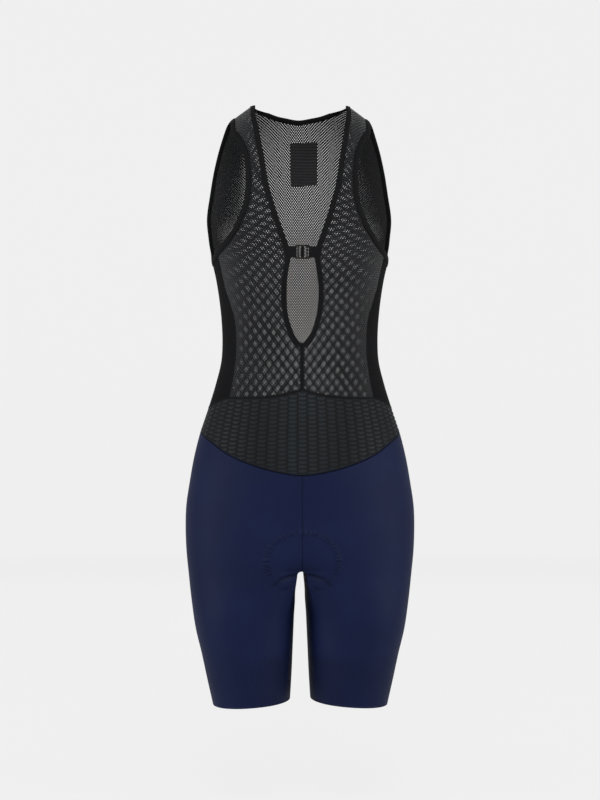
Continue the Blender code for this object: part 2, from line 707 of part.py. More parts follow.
def add_clasp_tabs(lines, material):
    """The two cloth tabs, from the neck binding to the fold round the clasp's bars."""
    edge = figure_point(lines["neck edge"][:, 0], lines["neck edge"][:, 1])
    order = np.argsort(edge[:, 2])
    heights = CLASP_LEVEL + TAB_HALF_HEIGHT * np.array([-1.0, 0.0, 1.0])
    reach = -np.interp(heights, edge[order, 2], edge[order, 0]) - FOLD_X - TAB_GAP
    outsides = []
    holes = []
    for height, tail in zip(heights, reach):
        outside, hole = tab_outline(tail)
        for ring, kept in ((outside, outsides), (hole, holes)):
            kept.append(np.column_stack([ring[:, 0] - FOLD_X, ring[:, 1] + CLASP_Y,
                                         np.full(len(ring), height)]))
    count = len(outsides[0])
    points = np.vstack(outsides + holes)
    faces = []
    for layer in range(len(heights) - 1):
        for k in range(count):
            after = (k + 1) % count
            low = layer * count
            faces.append([low + k, low + after, low + count + after, low + count + k])
            low += len(heights) * count
            faces.append([low + after, low + k, low + count + k, low + count + after])
    hole_start = len(heights) * count
    top = (len(heights) - 1) * count
    for k in range(count):
        after = (k + 1) % count
        faces.append([after, k, hole_start + k, hole_start + after])
        faces.append([top + k, top + after, hole_start + top + after, hole_start + top + k])
    add_pair("clasp_tab", points, np.array(faces), material)


def block_solid(x_edges, y_edges, z_edges, filled):
    """Points and faces of a solid made of the filled cells of a box grid.

    filled is a set of (x cell, y cell, z cell).
    """
    corners = {}
    points = []
    faces = []
    sides = (
        ((-1, 0, 0), ((0, 0, 0), (0, 0, 1), (0, 1, 1), (0, 1, 0))),
        ((1, 0, 0), ((1, 0, 0), (1, 1, 0), (1, 1, 1), (1, 0, 1))),
        ((0, -1, 0), ((0, 0, 0), (1, 0, 0), (1, 0, 1), (0, 0, 1))),
        ((0, 1, 0), ((0, 1, 0), (0, 1, 1), (1, 1, 1), (1, 1, 0))),
        ((0, 0, -1), ((0, 0, 0), (0, 1, 0), (1, 1, 0), (1, 0, 0))),
        ((0, 0, 1), ((0, 0, 1), (1, 0, 1), (1, 1, 1), (0, 1, 1))),
    )
    for cell in sorted(filled):
        for step, ring in sides:
            if tuple(np.add(cell, step)) in filled:
                continue
            face = []
            for offset in ring:
                corner = tuple(np.add(cell, offset))
                if corner not in corners:
                    corners[corner] = len(points)
                    points.append((x_edges[corner[0]], y_edges[corner[1]], z_edges[corner[2]]))
                face.append(corners[corner])
            faces.append(face)
    return np.array(points, dtype=float), np.array(faces)


def add_clasp(material):
    """A wire loop on the wearer's right tab and a hook on the left one, closed together."""
    wire = RING_HALF_DEPTH
    ring_y = (CLASP_Y - wire, CLASP_Y + wire)
    rail_z = (-RAIL[1], -RAIL[0], RAIL[0], RAIL[1])
    loop_x = (-FOLD_X - wire, -FOLD_X + wire, -MIDDLE_BAR[1], -MIDDLE_BAR[0], *LOOP_END)
    bars = {(x, 0, 1) for x in (0, 2, 4)}
    rails = {(x, 0, z) for x in range(5) for z in (0, 2)}
    loop_z = [CLASP_LEVEL + z for z in rail_z]
    add_object("clasp_loop", *block_solid(loop_x, ring_y, loop_z, rails | bars), material)

    # the hook passes in front of the loop's last bar, round it and back behind it
    hook_x = (*HOOK_BEND, HOOK_LIP, *HOOK_STEM, *MIDDLE_BAR, FOLD_X - wire, FOLD_X + wire)
    front = CLASP_Y - wire - HOOK_CLEAR
    back = CLASP_Y + wire + HOOK_CLEAR
    hook_y = (front - HOOK_FRONT, front, *ring_y, back, back + HOOK_BACK)
    hook_z = [CLASP_LEVEL + z
              for z in sorted((*rail_z, -HOOK_HALF_HEIGHT, HOOK_HALF_HEIGHT))]
    ring = 2
    middle = 2
    filled = {(x, ring, z) for x in range(3, 8) for z in (0, 4)}
    filled |= {(x, ring, z) for x in (3, 5, 7) for z in range(5)}
    filled |= {(x, 0, middle) for x in range(4)}
    filled |= {(0, y, middle) for y in range(5)}
    filled |= {(3, y, middle) for y in range(3)}
    filled |= {(1, 4, middle)}
    add_object("clasp_hook", *block_solid(hook_x, hook_y, hook_z, filled), material)


# ================================================================ shorts
def smooth_step(value):
    """0 below 0, 1 above 1, and level at both ends."""
    value = np.clip(value, 0, 1)
    return value * value * (3 - 2 * value)


def pad_lift(x, level, half):
    """How far the pad lifts the cloth: full inside its oval outline, none outside."""
    inside = np.sqrt((x / half[0])**2 + ((level - PAD_CENTRE) / half[1])**2)
    return PAD_RELIEF * smooth_step((PAD_SLOPE[0] - inside) / PAD_SLOPE[1])


def hip_point(angle, level):
    """The hips and their continuation below the crotch, before the legs divide.

    The centre seams turn in towards the crotch, and the pad lifts the cloth.
    """
    point = figure_point(angle, level - BUST_LEVEL)
    x = point[..., 0]
    front = np.sin(angle) > 0
    start = np.where(front, FRONT_TURN[0], BACK_TURN[0])
    reach = np.where(front, FRONT_TURN[1], BACK_TURN[1])
    turn = np.clip((start - level) / (start - CROTCH_LEVEL), 0, 1)**3
    fade = np.exp(-(x / TURN_WIDTH)**2)
    lift = np.where(front, pad_lift(x, level, PAD_FRONT_HALF), pad_lift(x, level, PAD_BACK_HALF))
    inward = np.where(front, 1.0, -1.0)
    point[..., 1] += inward * (reach * turn * fade - lift)
    return point


def leg_ring(direction_x, direction_y, level):
    """A leg's section: a rounded rectangle of the LEG table, at a direction from its axis."""
    leg = smooth_table(LEG, level)
    outer, inner, front, back = (leg[..., k] for k in range(4))
    power = np.where(direction_x < 0, leg[..., 4], leg[..., 5])
    centre_x = -(outer + inner) / 2
    centre_y = (front + back) / 2
    size = (np.abs(direction_x)**power + np.abs(direction_y)**power)**(-1 / power)
    x = centre_x + (outer - inner) / 2 * size * direction_x
    y = centre_y + (back - front) / 2 * size * direction_y
    return np.stack([x, y, level], axis=-1)


def leg_direction(point):
    """The direction of a point from the leg's axis at crotch level, in leg half widths."""
    outer, inner, front, back = LEG[0][1:5]
    x = (point[..., 0] + (outer + inner) / 2) / ((outer - inner) / 2)
    y = (point[..., 1] - (front + back) / 2) / ((back - front) / 2)
    return x, y


def arch(depth):
    """Half the space between the legs at a depth below the crotch: a round arch, then even."""
    share = np.clip(1 - depth / ARCH_DEPTH, 0, 1)
    return LEG_GAP * np.sqrt(1 - share**2)


def divide(hip, depth, level):
    """A point below the crotch: the hips' section, turning into the leg's with depth."""
    spread = hip.copy()
    fade = np.exp(-(hip[..., 0] / ARCH_REACH)**2)
    spread[..., 0] = np.minimum(hip[..., 0] - arch(depth) * fade, -arch(depth))
    leg = leg_ring(*leg_direction(hip), level)
    share = smooth_step(depth / LEG_BLEND)[..., None]
    mixed = (1 - share) * spread + share * leg
    mixed[..., 2] = level
    return mixed


def outer_leg_point(angle, depth):
    """The shorts below the crotch, on the side that the hips continue."""
    level = CROTCH_LEVEL - depth
    hip = hip_point(angle, np.maximum(level, FIGURE[-1][0]))
    return divide(hip, depth, level)


def medial_leg_point(share, depth):
    """The shorts below the crotch line, between the legs.

    share runs from 0 at the back seam to 1 at the front seam.
    """
    level = CROTCH_LEVEL - depth
    held = np.maximum(level, FIGURE[-1][0])
    back = hip_point(np.full_like(level, 1.5 * math.pi), held)
    front = hip_point(np.full_like(level, 0.5 * math.pi), held)
    blend = ((1 - np.cos(math.pi * share)) / 2)[..., None]
    hip = (1 - blend) * back + blend * front
    sag = CROTCH_SAG * (1 - np.abs(2 * blend[..., 0] - 1)**4)
    fade = 1 - smooth_step(depth / LEG_BLEND)
    point = divide(hip, depth, level)
    point[..., 2] -= sag * fade
    return point


def shorts_levels(top_level):
    """Levels of the rows of the shorts from their top to the crotch."""
    down = 1 - (1 - np.linspace(0, 1, SHORTS_ROWS + 1))**ROW_CROWDING
    return top_level + down * (CROTCH_LEVEL - top_level)


def shorts_grids(lines):
    """Outer points of one half of the shorts: above the crotch, below it, and between."""
    top = lines["waist bottom"]
    angles = top[:, 0]
    top_level = rise_to_level(top[:, 1])[0]
    levels = np.stack([shorts_levels(level) for level in top_level], axis=1)
    above = hip_point(np.broadcast_to(angles, levels.shape), levels)
    above[0] = figure_point(top[:, 0], top[:, 1])
    depths = np.array(LEG_DEPTHS, dtype=float)[:, None]
    below = outer_leg_point(np.broadcast_to(angles, (len(depths), len(angles))),
                            np.broadcast_to(depths, (len(depths), len(angles))))
    shares = np.linspace(0, 1, MEDIAL_COLUMNS + 1)[1:-1]
    all_depths = np.vstack([[[0.0]], depths])
    between = medial_leg_point(np.broadcast_to(shares, (len(all_depths), len(shares))),
                               np.broadcast_to(all_depths, (len(all_depths), len(shares))))
    return above, below, between


def level_hem(points):
    """Rows of a leg drawn to a flat hem that is a little lower at its outer side."""
    depth = np.clip((CROTCH_LEVEL - points[..., 2]) / LEG_DEPTHS[-1], 0, 1)
    outer, inner = LEG[-1][1:3]
    side = (-points[..., 0] - (outer + inner) / 2) / ((outer - inner) / 2)
    target = HEM_LEVEL - HEM_TILT * side
    points[..., 2] += smooth_step(depth) * (target - (CROTCH_LEVEL - LEG_DEPTHS[-1]))
    return points


def vertex_normals(points, quads):
    """Mean outward direction of the faces round each point."""
    a, b, c, d = (points[quads[:, k]] for k in range(4))
    face = np.cross(c - a, d - b)
    total = np.zeros_like(points)
    for k in range(4):
        np.add.at(total, quads[:, k], face)
    return unit(total)


def add_shorts(lines, material):
    """The halves of the shorts: each a half shell above the crotch and a leg below it.

    Returns the points and faces of both inner skins.
    """
    above, below, between = shorts_grids(lines)
    below = level_hem(below)
    between = level_hem(between)
    columns = above.shape[1]
    ring = columns + between.shape[1]
    upper = np.arange(above.size // 3).reshape(above.shape[:2])
    start = upper.size
    first_between = start + np.arange(between.shape[1])
    start += between.shape[1]
    lower = start + np.arange(len(below) * ring).reshape(len(below), ring)
    points = np.vstack([above.reshape(-1, 3), between[0],
                        np.concatenate([below, between[1:]], axis=1).reshape(-1, 3)])

    crotch_ring = np.concatenate([upper[-1], first_between])
    rings = np.vstack([crotch_ring, lower])
    around = np.stack([rings[:-1], np.roll(rings[:-1], -1, axis=1),
                       np.roll(rings[1:], -1, axis=1), rings[1:]], axis=-1).reshape(-1, 4)
    shell = np.stack([upper[:-1, :-1], upper[:-1, 1:], upper[1:, 1:], upper[1:, :-1]],
                     axis=-1).reshape(-1, 4)
    quads = np.vstack([shell, around])
    normals = vertex_normals(points, quads)
    outward_axis = points - points.mean(axis=0)
    if np.sum(normals[upper[2]] * outward_axis[upper[2]]) < 0:
        normals = -normals

    # on the centre line the cloth's direction has no sideways part
    centre = np.concatenate([upper[:, 0], first_between[::-1], upper[::-1, -1]])
    run = np.gradient(points[centre], axis=0)
    normals[centre] = unit(np.stack([np.zeros(len(run)), run[:, 2], -run[:, 1]], axis=1))
    normals[upper[0]] = figure_normal(lines["waist bottom"][:, 0], lines["waist bottom"][:, 1])
    points[centre, 0] = -HALF_GAP
    points[upper[0]] += HALF_GAP * unit(points[upper[1]] - points[upper[0]])
    inner = points - SHORTS_WALL * normals
    inner[centre, 0] = -HALF_GAP

    opening = np.concatenate([upper[0, :-1], upper[:-1, -1], crotch_ring[columns - 1:],
                              upper[:0:-1, 0]])
    faces = wall_faces(quads, [opening, lower[-1][::-1]], len(points))
    add_pair("shorts", np.vstack([points, inner]), faces, material)
    both = np.vstack([inner, inner * (-1, 1, 1)])
    return both, np.vstack([quads, quads[:, ::-1] + len(inner)])


# ================================================================ seat pad
def pad_line_points(angle, level, reach, slant):
    """One line of the pad across the cloth, from its centre line out on the -X half.

    It starts at a centre seam (angle) at a level, and runs out by the reach,
    slanting down by the slant in radians.
    """
    away = np.array(PAD_SHARES) * reach
    side = away * math.cos(slant)
    depth = away * math.sin(slant) + CROTCH_LEVEL - level
    depth[0] = CROTCH_LEVEL - level
    start = abs(float(hip_point(np.array(angle), np.array(float(CROTCH_LEVEL)))[1]))
    turn = 1 if angle < math.pi else -1
    angles = angle + turn * side / start
    at_level = hip_point(angles, CROTCH_LEVEL - depth)
    below = outer_leg_point(angles, np.maximum(depth, 0))
    return np.where((depth > 0)[:, None], below, at_level)


def pad_lines(row_levels):
    """Every line of the pad, front to back, on the -X half."""
    lines = []
    bottom_reach = CROTCH_LEVEL - (PAD_CENTRE - PAD_FRONT_HALF[1])
    for angle, half in ((0.5 * math.pi, PAD_FRONT_HALF), (1.5 * math.pi, PAD_BACK_HALF)):
        side_lines = []
        tip = PAD_CENTRE + half[1]
        for level in row_levels:
            if CROTCH_LEVEL <= level < tip - PAD_TIP:
                share = (level - PAD_CENTRE) / half[1]
                reach = half[0] * math.sqrt(1 - share**2)
                side_lines.append(pad_line_points(angle, level, reach, 0.0))
        widest = half[0] * math.sqrt(1 - ((CROTCH_LEVEL - PAD_CENTRE) / half[1])**2)
        for slant in np.radians(PAD_FAN):
            reach = 1 / math.hypot(math.cos(slant) / widest, math.sin(slant) / bottom_reach)
            side_lines.append(pad_line_points(angle, CROTCH_LEVEL, reach, slant))
        lines.append(side_lines)
    depths = np.array(PAD_SHARES) * bottom_reach
    shares = np.linspace(1, 0, MEDIAL_COLUMNS + 1)[1:-1]
    between = [medial_leg_point(np.full_like(depths, share), depths) for share in shares]
    return np.array(lines[0] + between + lines[1][::-1])


def settle_inside(points, normals, quads, skin):
    """Sets points in until no spot of their faces is nearer to a skin than SEAT_GAP.

    Bent quads may be split either way, so both ways count, on the skin and here.
    """
    splits = [skin[1][:, corners] for corners in ((0, 1, 2), (0, 2, 3), (0, 1, 3), (1, 2, 3))]
    tree = BVHTree.FromPolygons(skin[0].tolist(), np.vstack(splits).tolist())
    steps = np.linspace(0, 1, SETTLE_SAMPLES)
    weights = np.array([((1 - u) * (1 - v), (1 - u) * v, u * v, u * (1 - v))
                        for u in steps for v in steps]
                       + [(1 - u, 0, u, 0) for u in steps] + [(0, 1 - u, 0, u) for u in steps])
    settled = points.copy()
    for _ in range(SETTLE_ROUNDS):
        push = np.zeros(len(points))
        for quad in quads:
            for weight in weights:
                spot = weight @ settled[quad]
                inward = -unit(weight @ normals[quad])
                near = np.array(tree.find_nearest(spot.tolist())[0])
                short = SEAT_GAP - float((spot - near) @ inward)
                if short > 0:
                    push[quad] = np.maximum(push[quad], short * weight / weight.max())
        settled -= push[:, None] * normals
    return settled


def add_seat_pad(lines, skin, material):
    """The seat pad, a saddle inside the shorts, thin at its rim and thick in its middle."""
    top_level = rise_to_level(lines["waist bottom"][0, 1])[0]
    row_levels = shorts_levels(float(top_level))
    half = pad_lines(row_levels)
    half[:, 0, 0] = 0
    count, across = half.shape[:2]
    whole = np.concatenate([half[:, :0:-1] * (-1, 1, 1), half], axis=1)
    flat = whole.reshape(-1, 3)
    quads = grid_quads(*whole.shape[:2])
    normals = vertex_normals(flat, quads)
    if normals[(len(row_levels) // 2) * whole.shape[1] + across][1] > 0:
        normals = -normals
    middle = np.arange(count) * whole.shape[1] + across - 1
    path = half[:, 0]
    run = np.gradient(path, axis=0)
    for k in range(count):
        same = np.all(np.abs(path - path[k]) < 1e-6, axis=1)
        first, last = np.flatnonzero(same)[[0, -1]]
        run[k] = path[min(last + 1, count - 1)] - path[max(first - 1, 0)]
    normals[middle] = unit(np.stack([np.zeros(count), run[:, 2], -run[:, 1]], axis=1))
    share = np.broadcast_to(np.abs(np.concatenate(
        [PAD_SHARES[:0:-1], PAD_SHARES])), whole.shape[:2]).reshape(-1, 1)
    along = np.linspace(-1, 1, count)
    end = np.broadcast_to((1 - along**6)[:, None], whole.shape[:2]).reshape(-1, 1)
    thick = PAD_EDGE + (PAD_THICK - PAD_EDGE) * (1 - share**2) * end
    near = settle_inside(flat - (SHORTS_WALL + SEAT_GAP) * normals, normals, quads, skin)
    points = np.vstack([near, near - thick * normals])
    faces = wall_faces(quads, [grid_rim(*whole.shape[:2])], len(near))
    thing = add_object("seat_pad", points, faces, material)
    weld(thing)


def weld(thing):
    """Joins points that coincide and drops the faces that this flattens."""
    mesh = bmesh.new()
    mesh.from_mesh(thing.data)
    bmesh.ops.remove_doubles(mesh, verts=mesh.verts, dist=1e-6)
    bmesh.ops.dissolve_degenerate(mesh, edges=mesh.edges, dist=1e-7)
    mesh.to_mesh(thing.data)
    mesh.free()
    thing.data.update()


# ================================================================ scene
def cloth(name, colour, roughness, metallic=0.0):
    """A plain Principled material."""
    material = bpy.data.materials.new(name)
    material.use_nodes = True
    shader = material.node_tree.nodes["Principled BSDF"]
    shader.inputs["Base Color"].default_value = (*colour, 1.0)
    shader.inputs["Roughness"].default_value = roughness
    shader.inputs["Metallic"].default_value = metallic
    return material


def main():
    """Builds every piece."""
    for thing in list(bpy.data.objects):
        bpy.data.objects.remove(thing, do_unlink=True)
    net = cloth("net", (0.012, 0.012, 0.013), 0.75)
    plain = cloth("side_jersey", (0.010, 0.010, 0.012), 0.7)
    tape = cloth("binding_tape", (0.008, 0.008, 0.009), 0.65)
    knit = cloth("waist_knit", (0.012, 0.012, 0.014), 0.6)
    lycra = cloth("shorts_jersey", (0.010, 0.014, 0.055), 0.6)
    foam = cloth("pad_jersey", (0.020, 0.020, 0.024), 0.8)
    woven = cloth("label_weave", (0.009, 0.009, 0.010), 0.7)
    metal = cloth("clasp_enamel", (0.010, 0.010, 0.011), 0.4)
    lines = seam_stations()
    add_front_mesh(lines, net)
    add_side_panel(lines, plain)
    add_back_mesh(lines, net)
    add_neck_binding(lines, tape)
    add_armhole_bindings(lines, tape)
    add_waist_panel(lines, knit)
    skin = add_shorts(lines, lycra)
    add_seat_pad(lines, skin, foam)
    add_label(woven)
    add_clasp_tabs(lines, tape)
    add_clasp(metal)


main()
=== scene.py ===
"""Dresses a packed pair of cycling bib shorts in its real cloth.

The garment is worn and hollow: a sleeveless top of openwork net with bound edges, a knitted
waist panel, tight shorts with a seat pad, and a small clasp at the breast.  Every cloth lies
on one smooth figure, described by an angle round it (90 degrees at the centre front, 180 at
the -X side line, 270 at the centre back) and a rise.  Sizes are in millimetres here and
become metres when a mesh is made.
"""
import math

import bmesh
import bpy
import numpy as np
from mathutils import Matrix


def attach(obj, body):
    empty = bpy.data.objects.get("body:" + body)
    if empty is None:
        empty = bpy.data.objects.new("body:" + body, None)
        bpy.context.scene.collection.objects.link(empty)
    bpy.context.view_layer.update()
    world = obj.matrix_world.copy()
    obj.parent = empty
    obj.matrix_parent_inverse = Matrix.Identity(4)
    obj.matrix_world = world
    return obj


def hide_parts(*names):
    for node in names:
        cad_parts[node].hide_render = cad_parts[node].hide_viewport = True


bl_info = {
    "name": "Cycling Bib Shorts",
    "version": (1, 0, 0),
    "blender": (4, 5, 0),
    "location": "3D View > Sidebar > Bib Shorts",
    "description": "Makes the net, knit, jersey, tapes, pad and clasp of a pair of bib shorts",
    "category": "Mesh",
}

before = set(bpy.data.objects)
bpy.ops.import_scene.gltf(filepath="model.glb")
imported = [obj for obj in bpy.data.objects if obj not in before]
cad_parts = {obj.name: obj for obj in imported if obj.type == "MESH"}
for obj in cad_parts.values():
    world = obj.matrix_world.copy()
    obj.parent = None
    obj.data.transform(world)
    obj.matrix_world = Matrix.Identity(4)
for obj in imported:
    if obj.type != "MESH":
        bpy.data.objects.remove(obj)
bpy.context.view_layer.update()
MM = 0.001
TAU = 2 * math.pi
MIRROR = np.array((-1, 1, 1))
BLACK = (0.0, 0.0, 0.0, 1.0)

# ---- cloth
WALL = 1.6  # cloth wall of the upper panels
SHORTS_WALL = 1.8  # cloth wall of the shorts
HALF_GAP = 0.15  # between a piece and its seam line
SEAM_GAP = 0.22  # the same between the shorts' halves
NECK_BAND = 8.0  # width of the neck and keyhole binding
ARM_BAND = 9.0  # width of the armhole binding
BAND_EDGE = 0.25  # a binding stands this proud at its edges
BAND_CROWN = 0.7  # and at its middle
RIM_ROUND = 0.3  # how far a cloth's cut edge bulges
RIM_DIP = 0.3  # how far a panel's edge rows lie lower
BAKE_MARGIN = 0.008  # round each part of the OFBake map
STITCH_WIDE = 0.55
STITCH_HIGH = 0.4

# ---- figure
BUST_LEVEL = -210.0  # where the shoulders' dome starts
DOME_POWER = 3.0  # roundness of that dome, seen from the side
SHOULDER_SLOPE = 0.8  # fall of the crest outwards
SLOPE_ROUNDING = 40.0  # how softly that slope starts at the centre
CREST_X = 67.5  # the crest is at z = 0 this far from the centre
CREST_SOFT = -3.2  # the neck tape is pressed down above this
CREST_THIN = 0.35  # share of the net's depth left at the crest

FIGURE = (  # level, half width, front depth, back depth, squareness
    (0, 110.5, 70, 74, 2.9),
    (-50, 125.0, 82, 84, 2.8),
    (-100, 134.5, 92, 91, 2.6),
    (-150, 138.5, 100, 94, 2.4),
    (-180, 136.0, 104, 94, 2.3),
    (-210, 130.5, 105, 91, 2.2),
    (-245, 121.7, 103, 86, 2.2),
    (-280, 115.9, 98, 80, 2.2),
    (-314, 112.5, 92, 75, 2.2),
    (-340, 111.6, 89, 73, 2.2),
    (-366, 113.0, 88, 74, 2.2),
    (-400, 121.0, 90, 79, 2.2),
    (-435, 131.8, 95, 87, 2.2),
    (-470, 143.3, 99, 97, 2.2),
    (-504, 151.9, 102, 107, 2.2),
    (-540, 158.4, 104, 114, 2.2),
    (-575, 163.4, 103, 117, 2.3),
    (-608, 164.3, 102, 117, 2.4),
    (-640, 163.0, 99.5, 113, 2.5),
    (-670, 160.0, 97, 107, 2.6),
    (-705, 156.0, 94, 98, 2.6),
    (-741, 150.5, 91, 89, 2.6),
)

# ---- seam lines, -X half
NECK_EDGE = (  # level, distance from centre: from the crest to the keyhole's foot
    (0, 66.8), (-15, 65.1), (-44, 60.4), (-91, 52.8), (-135, 45.2), (-154, 39.6),
    (-174, 33.1), (-193, 26.1), (-210, 19.6), (-226, 17.0), (-243, 19.4), (-257, 21.3),
    (-272, 22.1), (-287, 21.9), (-302, 20.2), (-317, 16.6), (-332, 10.5), (-341, 4.6),
    (-343, 0),
)
BACK_NECK = (  # level, distance from centre: from the crest to the centre
    (0, 66.8), (-1.9, 61.5), (-11.6, 50), (-24.6, 33), (-31.8, 18), (-36.2, 0),
)
ARM_FRONT = (  # level, distance from centre: from the crest down
    (0, 102.5), (-20, 99.8), (-41, 92.3), (-58, 86.5), (-74, 82), (-89, 80), (-109, 79),
    (-127, 79.6), (-147, 82.5), (-160, 87.5), (-174, 93.5), (-189, 102.5), (-202, 111.5),
    (-212, 119.5),
)
ARM_FOOT = (  # level, angle round the figure in degrees
    (-219.5, 169), (-223.8, 175), (-223.5, 180), (-219.5, 184.3),
)
ARM_BACK = (  # level, distance from centre: from the armhole's foot up
    (-211, 128.5), (-200, 130.2), (-180, 132.4), (-150, 134.6), (-100, 130.0), (-50, 121.8),
    (-20, 113.5), (0, 102.5),
)
FRONT_SEAM = (  # level, distance from centre: front net to side panel
    (-225, 117.4), (-245, 112.8), (-266, 108), (-287, 101.4), (-304, 96.3), (-324, 93.4),
    (-342, 92.9), (-361, 93.3), (-380, 95.7), (-399, 98.6), (-420.5, 103),
)
BACK_SEAM = (  # level, distance from centre: side panel to back net
    (-228, 119), (-245, 113.5), (-266, 108), (-287, 102), (-304, 98), (-324, 96),
    (-342, 96), (-361, 97.5), (-380, 100.5), (-399, 104), (-429, 110),
)
WAIST_FRONT = (  # distance from centre, top level, bottom level
    (0, -408.5, -527.7), (8, -411.5, -527.2), (27, -416.5, -524.5), (48, -419.3, -520),
    (71, -420.5, -513), (90, -420.5, -505.5), (103, -420.5, -499), (125, -429.8, -484),
)
WAIST_SIDE = (-433.5, -466)  # top and bottom level at the side line
WAIST_BACK = (  # distance from centre, top level, bottom level
    (110, -429, -461), (75, -426, -458.5), (38, -424.5, -457), (0, -424, -456.5),
)

# ---- crotch and legs
CROTCH_LEVEL = -660.5  # where the centre seams turn under
CROTCH_SAG = 5.5  # the crotch line is this much lower at its middle
FRONT_TURN = (-622.0, 13.5)  # the front seam turns in from this level, this far
BACK_TURN = (-605.0, 22.0)  # the same at the back
TURN_WIDTH = 28.0  # sideways reach of that turn
LEG_GAP = 6.4  # half the space between the legs just under the crotch
ARCH_DEPTH = 9.0  # depth over which it opens to that
ARCH_REACH = 20.0  # how far the arch pushes the front and back aside
LEG_BLEND = 75.0  # depth over which the hips' section becomes a leg's
HEM_LEVEL = -853.5
HEM_TILT = 4.0  # the hem is this much lower at its outer side
LEG_LENGTH = 190.0  # from the crotch, before the hem is levelled

LEG = (  # level, outer x, inner x, front y, back y, squareness outside and inside
    (-664, 161.0, 0.0, -93.0, 103.0, 2.4, 3.4),
    (-676, 159.8, 6.5, -92.5, 101.0, 2.4, 3.3),
    (-711, 155.5, 8.0, -91.0, 94.0, 2.35, 3.0),
    (-746, 149.8, 9.4, -88.5, 86.0, 2.3, 2.7),
    (-780, 141.1, 10.8, -85.5, 79.0, 2.25, 2.5),
    (-815, 133.2, 12.3, -81.5, 72.0, 2.2, 2.3),
    (-858, 123.4, 15.0, -76.0, 65.0, 2.2, 2.2),
)

# ---- seat pad
PAD_RELIEF = 1.6  # the pad lifts the cloth this much
PAD_CENTRE = -647.0  # level of its middle
PAD_FRONT_HALF = (53.0, 43.0)  # half width and height of its front outline
PAD_BACK_HALF = (72.0, 50.0)  # and of its back outline
PAD_EDGE = 2.0  # thickness at its rim
PAD_THICK = 8.0  # and at its middle
PAD_SLOPE = (1.08, 0.16)  # where the cloth starts to rise, in outline sizes, and over what

# ---- label and clasp
LABEL_CORNERS = (  # distance from centre and height
    ((-12.2, -43.1), (28.2, -40.8)),
    ((-10.1, -106.1), (28.5, -102.4)),
)
LABEL_THICK = 0.9
LABEL_GAP = 0.65
CLASP_LEVEL = -218.5  # middle of the clasp
CLASP_Y = -103.7  # the plane of its rings
TAB_HALF_HEIGHT = 7.8  # the cloth tabs that hold it
TAB_HALF_THICK = 1.0
TAB_GAP = -1.6
FOLD_X = 10.4  # bars that the tabs are folded round
FOLD_OUTSIDE = 2.2  # radius of the fold, outside
FOLD_INSIDE = 1.4  # and inside
RAIL = (8.1, 9.4)  # inner and outer height of the rings' rails
RING_HALF_DEPTH = 0.75
BAR_HALF = 0.95  # half thickness of a ring's wire
MIDDLE_BAR = 5.9  # each ring's second bar, from the centre
LOOP_END = -0.75  # the loop's bar that the hook holds
HOOK_STEM = 1.2  # the bar that the hook springs from
HOOK_BEND = -2.15  # its bend, beyond the loop's bar
HOOK_LIP = -0.7  # its lip, behind that bar
HOOK_CLEAR = 0.4  # between the rings' faces and the hook
HOOK_THICK = 0.85
HOOK_HALF_HEIGHT = 7.2
CREASES = (  # two ends (distance, level), width and depth of each
    ((6, -666), (31, -673), 2.6, 2.0),
    ((30, -673), (44, -686), 3.4, 1.3),
    ((15, -684), (27, -690), 2.4, 1.1),
)
PUCKER_BAND = (0.82, 1.1)  # where the puckers start and end, in outline sizes
PUCKER_SWINGS = ((2.6, 5, 1.0), (2.1, 13, 0.4))  # size, count, start
ROW_CROWDING = 1.35  # power that crowds the shorts' rows towards the crotch
RIB_TOP = -777.0  # the hem's fine ribs start here
RIB_FADE = 14.0  # and reach their full depth over this height
RIB_PITCH = 4.4  # distance between them, measured at the crotch
PUCKERS = 62.0  # puckers in a whole turn round the pad's outline
GRIP_ROWS = 17  # rows of the leg that the grip band covers
BUST_DOWN = 225.0  # the front net is drawn longest here, below the crest
BUST_REACH = 75.0
BUST_SPREAD = 0.2  # and this much less across than elsewhere
LINED = (78.0, 18.0, 250.0, 55.0)  # the back net's holes close past this distance and
LINED_SHARE = 0.36  # above this length, over these reaches, by this share

# ---- stage
PAPER_LIGHT = 0.931  # glow of the studio walls for the camera
FLOOR_LIGHT = 0.912  # and of the floor, which the lamps reach better
AIR_LIGHT = 0.42  # how much both glow as a lamp

# ---- grid counts
ARM_FRONT_ROWS = 126
ARM_BACK_ROWS = 105
SEAM_ROWS = 91
NECK_ROWS = 200
FRONT_COLUMNS = 98
SIDE_COLUMNS = 40
CREST_COLUMNS = 12
BACK_NECK_COLUMNS = 48  # for each half of the scoop
WAIST_ROWS = 80
HIP_ROWS = 90
LEG_ROWS = 70
MEDIAL_COLUMNS = 48
PAD_COLUMNS = 30  # from the pad's centre line out
DENSE = 801  # points on a seam line before its stations
REFINE = 3  # steps between stations when columns are spaced
MOVE_STEPS = 6  # a line is moved sideways in this many steps


# ======== figure
def smooth_table(rows, at):
    """A table's columns at given first-column values, on cubics whose slope at a row is the mean
    of the slopes beside it, weighted by the other one's interval."""
    table = np.array(sorted(rows), dtype=float)
    knots = table[:, 0]
    values = table[:, 1:]
    steps = np.diff(knots)[:, None]
    slopes = np.diff(values, axis=0) / steps
    middle = (slopes[:-1] * steps[1:] + slopes[1:] * steps[:-1]) / (steps[:-1] + steps[1:])
    tangents = np.vstack([slopes[:1], middle, slopes[-1:]])
    at = np.clip(np.asarray(at, dtype=float), knots[0], knots[-1])
    index = np.clip(np.searchsorted(knots, at, side="right") - 1, 0, len(knots) - 2)
    step = steps[index]
    t = ((at - knots[index])[..., None]) / step
    return ((2 * t**3 - 3 * t**2 + 1) * values[index]
            + (t**3 - 2 * t**2 + t) * step * tangents[index]
            + (3 * t**2 - 2 * t**3) * values[index + 1]
            + (t**3 - t**2) * step * tangents[index + 1])


